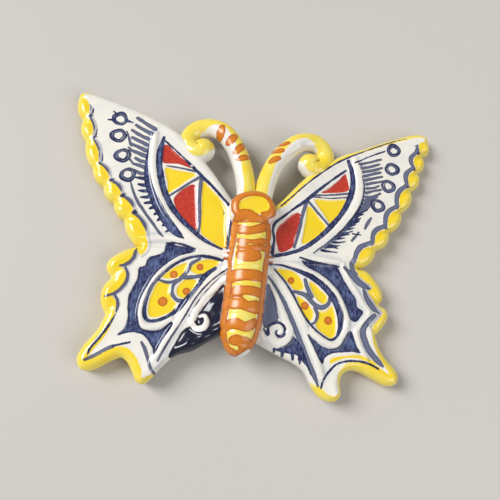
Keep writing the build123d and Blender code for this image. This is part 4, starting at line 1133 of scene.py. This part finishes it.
def build_object(name, vertices, faces, paint, material, side="right"):
    """A smooth mesh from points in millimetres, mirrored on the left side, with its paint distances."""
    vertices = np.array(vertices)
    vertices[:, 0] *= SIDES[side]
    vertices[:, 1] += PLAN_SHIFT
    if SIDES[side] < 0:
        faces = [face[::-1] for face in faces]
    mesh = bpy.data.meshes.new(name)
    mesh.from_pydata((vertices * MM).tolist(), [], faces)
    for layer in PAINTS:
        attribute = mesh.attributes.new(layer, "FLOAT", "POINT")
        values = paint.get(layer, np.full(len(vertices), BARE[layer]))
        attribute.data.foreach_set("value", np.asarray(values, np.float32))
    mesh.shade_smooth()
    mesh.materials.append(material)
    piece = bpy.data.objects.new(name, mesh)
    bpy.context.scene.collection.objects.link(piece)
    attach(piece, "root")
    return piece


def wing_level(points, height, sizes):
    """Height above the table of a point so far above the drooping underside."""
    droop = sizes.wing_droop
    return sizes.wing_root_level / MM - points[:, 0] * math.tan(droop) + height / math.cos(droop)


def under_level(side, points, sizes):
    """Height above the table of a wing's underside, which is dished away from the free edge."""
    dish = sizes.dish_depth / MM * step_up(*DISH_START, nearest_edge(side, points)[0])
    return np.maximum(wing_level(points, dish, sizes), 0.0)


def build_wing(side, wing, sizes, material):
    """One wing: rolled and painted top, wall down to the table and dished underside."""
    step = sizes.mesh_step / MM * 1.0
    loop, free = piece_loop(side, wing, step * LOOP_STEP_SHARE)
    top, faces, rim = triangulate(loop, fill_points(loop, free, EDGE_ROWS, step))
    edge = nearest_edge(side, top)
    height = wing_level(top, wing_relief(side, top, edge, sizes), sizes)
    paint = wing_paint(side, top, edge)

    foot = loop + inward(loop) * np.where(free, WING_WALL[-1][1], 0.0)[:, None]
    crown = height[rim]
    lower = under_level(side, foot, sizes)
    rows = wall_numbers(rim, len(top), len(WING_WALL))
    faces += band_faces(rows)

    back, back_faces, back_rim = triangulate(foot, fill_points(foot, free, (), BACK_STEP))
    joined = dict(zip(back_rim, rows[-1]))
    within = [corner for corner in range(len(back)) if corner not in joined]
    joined.update({corner: rows[-1][-1] + 1 + index for index, corner in enumerate(within)})
    faces += [tuple(joined[corner] for corner in face[::-1]) for face in back_faces]

    vertices = np.vstack([np.column_stack([top, height]), *wall(loop, free, crown, lower, WING_WALL),
                          np.column_stack([back[within], under_level(side, back[within], sizes)])])
    layers = {}
    for layer, values in paint.items():
        rate = {"yellow": YELLOW_FADE, "hollow": 0.0}.get(layer, PAINT_FADE)
        falls = [share * (crown - lower) * rate for share, tuck in WING_WALL]
        sides = [np.minimum(values[rim] + fall, FAR) for fall in falls]
        layers[layer] = np.concatenate([values, *sides, np.full(len(within), BARE[layer])])
    piece = build_object(f"{side}_{wing}_glazed", vertices, faces, layers, material, side)
    nodes = [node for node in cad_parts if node.startswith(f"{side}_{wing}")]
    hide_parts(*nodes)


def build_head(sizes, material):
    """The head: a rounded block with a raised frame round a sunk patch."""
    ring = smooth(HEAD_OUTLINE, closed=True)
    loop = resample(np.vstack([ring, ring[:1]]), HEAD_LOOP_STEP)[:-1]
    free = np.ones(len(loop), bool)
    top, faces, rim = triangulate(loop, fill_points(loop, free, EDGE_ROWS[:6], HEAD_STEP))
    patch = patch_gap(top, HEAD_PATCH)
    bands = least(top, strokes=[HEAD_FRAME], patches=HEAD_BANDS)
    height = sizes.head_height / MM - HEAD_FALL * rolled(stroke_gap(top, outline(loop)), HEAD_ROLL)
    height -= PATCH_SINK * (1.0 - step_up(*PATCH_WALL, patch)) + 0.02 * ((top[:, 1] - HEAD_MIDDLE) / 3.0) ** 2
    rows = wall_numbers(rim, len(top), len(HEAD_WALL))
    faces += [*band_faces(rows), tuple(rows[-1][::-1])]
    sides = wall(loop, free, height[rim], HEAD_FLOOR, HEAD_WALL)
    vertices = np.vstack([np.column_stack([top, height]), *sides])
    layers = {}
    for layer, values in {"yellow": patch - PATCH_SPREAD, "orange": bands - HEAD_BRUSH}.items():
        layers[layer] = [values]
        for share, tuck in HEAD_WALL:
            rate = np.where((loop[:, 1] < NECK_LINE) & (share < NECK_SHARE), NECK_FADE, PAINT_FADE)
            layers[layer].append(np.minimum(values[rim] + rate * share, FAR))
    layers = {layer: np.concatenate(values) for layer, values in layers.items()}
    piece = build_object("head_glazed", vertices, faces, layers, material)
    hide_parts("head", "head_patch", "head_frame")


def build_body(sizes, material):
    """The body: a ringed barrel tapering to the tail."""
    radius = sizes.body_radius / MM
    axis = smooth(BODY_AXIS, step=0.4)[::-1]
    cap = np.cos(np.linspace(0.1, 0.995, CAP_ROWS) * math.pi / 2)
    barrel = np.linspace(BODY_START, BODY_CAP, BODY_ROWS)
    stations = np.concatenate([barrel, BODY_END + (BODY_CAP - BODY_END) * cap])
    turn = np.linspace(0.0, 2 * math.pi, BODY_AROUND, endpoint=False)
    taper = np.clip((BODY_TAPER_START - stations) / (BODY_TAPER_START - BODY_END), 0.0, 1.0)
    girth = radius * np.maximum(1.0 - taper ** BODY_TAPER_SHAPE, 0.0) ** 0.5
    for groove in BODY_GROOVES:
        ring = np.exp(-((stations - groove) / GROOVE_WIDTH) ** 2)
        girth -= GROOVE_DEPTH * ring * np.minimum(1.0, girth / radius)
    middle = np.interp(stations, axis[:, 1], axis[:, 0])
    x = middle[:, None] + girth[:, None] * np.cos(turn)
    y = np.repeat(stations[:, None], BODY_AROUND, axis=1)
    z = BODY_LEVEL + girth[:, None] * np.sin(turn)
    vertices = np.column_stack([x.ravel(), y.ravel(), z.ravel()])
    plan = vertices[:, :2]
    under = np.clip(BODY_LEVEL - vertices[:, 2], 0.0, None)
    paint = {
        "yellow": least(plan, patches=BODY_YELLOW) + under,
        "orange": least(plan, strokes=BODY_STRIPES, patches=BODY_ORANGE) - BODY_BRUSH + under,
        "edge": np.full(len(vertices), BODY_THINNING),
    }
    piece = build_object("body_glazed", vertices, tube_faces(len(stations), BODY_AROUND), paint, material)
    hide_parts("body", "body_orange_bands", "body_yellow_bands")


def build_antenna(side, sizes, material):
    """An antenna: a tapering tube that rises from the head and curls into a crozier."""
    line = resample(smooth(ANTENNA_LINE[side], step=EDGE_STEP), ANTENNA_STEP)
    share = np.linspace(0.0, 1.0, len(line))
    girth = sizes.antenna_radius / MM * profile(share, ANTENNA_TAPER)
    lean = 1.0 - step_up(*LEAN_END, share) - 0.5 * step_up(*LEAN_TURN, share)
    run = np.gradient(line, axis=0)
    run /= np.hypot(run[:, 0], run[:, 1])[:, None]

    # The rounded end carries on from the last point of the line
    cap = np.sin(np.linspace(0.0, 1.0, 10) * math.pi / 2)[1:-1]
    more = (0, len(cap))
    level = np.pad(profile(share, ANTENNA_LEVELS), more, mode="edge")
    border = np.pad(profile(share, ANTENNA_BORDER), more, mode="edge")
    lean = np.pad(lean, more, mode="edge")
    outer = np.pad(np.column_stack([-run[:, 1], run[:, 0]]), (more, (0, 0)), mode="edge")
    line = np.vstack([line, line[-1] + run[-1] * (cap[:, None] * girth[-1])])
    girth = np.concatenate([girth, girth[-1] * np.sqrt(1.0 - cap ** 2)])

    turn = np.linspace(0.0, 2 * math.pi, ANTENNA_AROUND, endpoint=False)
    across = girth[:, None] * np.cos(turn)
    plan = line[:, None, :] + outer[:, None, :] * across[:, :, None]
    z = np.maximum(level[:, None] + girth[:, None] * np.sin(turn), ANTENNA_FLOOR)
    vertices = np.column_stack([plan.reshape(-1, 2), z.ravel()])
    faces = [face[::-1] for face in tube_faces(len(line), ANTENNA_AROUND)]
    low = np.clip(np.repeat(level, ANTENNA_AROUND) - vertices[:, 2], 0.0, None)
    paint = {
        "yellow": np.repeat(border, ANTENNA_AROUND) - (across * lean[:, None]).ravel() + low * 1.2,
        "orange": least(vertices[:, :2], strokes=ANTENNA_DABS[side]) + low * 2.0,
        "edge": np.full(len(vertices), ANTENNA_THINNING),
    }
    piece = build_object(f"{side}_antenna_glazed", vertices, faces, paint, material, side)
    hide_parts(f"{side}_antenna", f"{side}_antenna_dabs")


def build_floor(scene):
    """The plain table top."""
    half = FLOOR_HALF
    mesh = bpy.data.meshes.new("floor")
    corners = [(-half, -half, 0), (half, -half, 0), (half, half, 0), (-half, half, 0)]
    mesh.from_pydata(corners, [], [(0, 1, 2, 3)])
    material = bpy.data.materials.new("floor_paint")
    material.use_nodes = True
    shader = material.node_tree.nodes["Principled BSDF"]
    shader.inputs["Base Color"].default_value = (*scene.butterfly_colours.floor, 1.0)
    shader.inputs["Roughness"].default_value = 0.6
    mesh.materials.append(material)
    floor = bpy.data.objects.new("floor", mesh)
    scene.collection.objects.link(floor)


def build_lights(scene):
    """Soft studio light from both sides and from all round."""
    world = bpy.data.worlds.new("studio")
    world.use_nodes = True
    backdrop = world.node_tree.nodes["Background"]
    backdrop.inputs["Color"].default_value = WORLD_COLOUR
    backdrop.inputs["Strength"].default_value = WORLD_STRENGTH
    scene.world = world
    for name, place, spread, power in LIGHTS:
        light = bpy.data.lights.new(name, "SUN")
        light.angle = math.radians(spread)
        light.energy = power
        lamp = bpy.data.objects.new(name, light)
        lamp.location = place
        lamp.rotation_euler = (-Vector(place)).to_track_quat("-Z", "Y").to_euler()
        scene.collection.objects.link(lamp)


def build_camera(scene):
    """The camera of the photographed view."""
    camera = bpy.data.cameras.new("camera")
    camera.lens = CAMERA_LENS
    camera.sensor_width = 36.0
    camera.clip_start = 0.01
    viewer = bpy.data.objects.new("camera", camera)
    right = Vector(CAMERA_RIGHT)
    up = Vector(CAMERA_UP)
    turn = Matrix((right, up, right.cross(up))).transposed()
    viewer.matrix_world = Matrix.Translation(CAMERA_PLACE) @ turn.to_4x4()
    scene.collection.objects.link(viewer)
    scene.camera = viewer


class BUTTERFLY_OT_wings(bpy.types.Operator):
    """Builds the four painted wings"""

    bl_idname = "butterfly.wings"
    bl_label = "Build wings"

    def execute(self, context):
        scene = context.scene
        material = glaze_material("wing_glaze", scene.butterfly_colours)
        for side in SIDES:
            for wing in ("forewing", "hindwing"):
                build_wing(side, wing, scene.butterfly_sizes, material)
        return {"FINISHED"}


class BUTTERFLY_OT_body(bpy.types.Operator):
    """Builds the ringed body and the head"""

    bl_idname = "butterfly.body"
    bl_label = "Build body"

    def execute(self, context):
        scene = context.scene
        material = glaze_material("body_glaze", scene.butterfly_colours)
        build_body(scene.butterfly_sizes, material)
        build_head(scene.butterfly_sizes, material)
        return {"FINISHED"}


class BUTTERFLY_OT_antennae(bpy.types.Operator):
    """Builds the two curled antennae"""

    bl_idname = "butterfly.antennae"
    bl_label = "Build antennae"

    def execute(self, context):
        scene = context.scene
        material = glaze_material("antenna_glaze", scene.butterfly_colours)
        for side in SIDES:
            build_antenna(side, scene.butterfly_sizes, material)
        return {"FINISHED"}


class BUTTERFLY_OT_stage(bpy.types.Operator):
    """Sets the table top, the lights and the camera"""

    bl_idname = "butterfly.stage"
    bl_label = "Set stage"

    def execute(self, context):
        scene = context.scene
        build_floor(scene)
        build_lights(scene)
        build_camera(scene)
        scene.view_settings.view_transform = "Standard"
        return {"FINISHED"}


class BUTTERFLY_PT_panel(bpy.types.Panel):
    """Sidebar of the ornament"""

    bl_label = "Butterfly"
    bl_idname = "BUTTERFLY_PT_panel"
    bl_space_type = "VIEW_3D"
    bl_region_type = "UI"
    bl_category = "Butterfly"

    def draw(self, context):
        for group in (context.scene.butterfly_sizes, context.scene.butterfly_colours):
            for name in group.__annotations__:
                self.layout.prop(group, name)
        for step in STEPS:
            self.layout.operator(step.bl_idname)


STEPS = (BUTTERFLY_OT_wings, BUTTERFLY_OT_body, BUTTERFLY_OT_antennae, BUTTERFLY_OT_stage)
CLASSES = (ButterflySizes, ButterflyColours, *STEPS, BUTTERFLY_PT_panel)


def register():
    """Adds the classes and the ornament's sizes and colours."""
    for item in CLASSES:
        bpy.utils.register_class(item)
    bpy.types.Scene.butterfly_sizes = PointerProperty(type=ButterflySizes)
    bpy.types.Scene.butterfly_colours = PointerProperty(type=ButterflyColours)


def unregister():
    """Takes them out again."""
    del bpy.types.Scene.butterfly_colours
    del bpy.types.Scene.butterfly_sizes
    for item in reversed(CLASSES):
        bpy.utils.unregister_class(item)


def main():
    """Builds the ornament and its stage."""
    register()
    bpy.ops.butterfly.wings()
    bpy.ops.butterfly.body()
    bpy.ops.butterfly.antennae()
    bpy.ops.butterfly.stage()


if __name__ == "__main__":
    main()
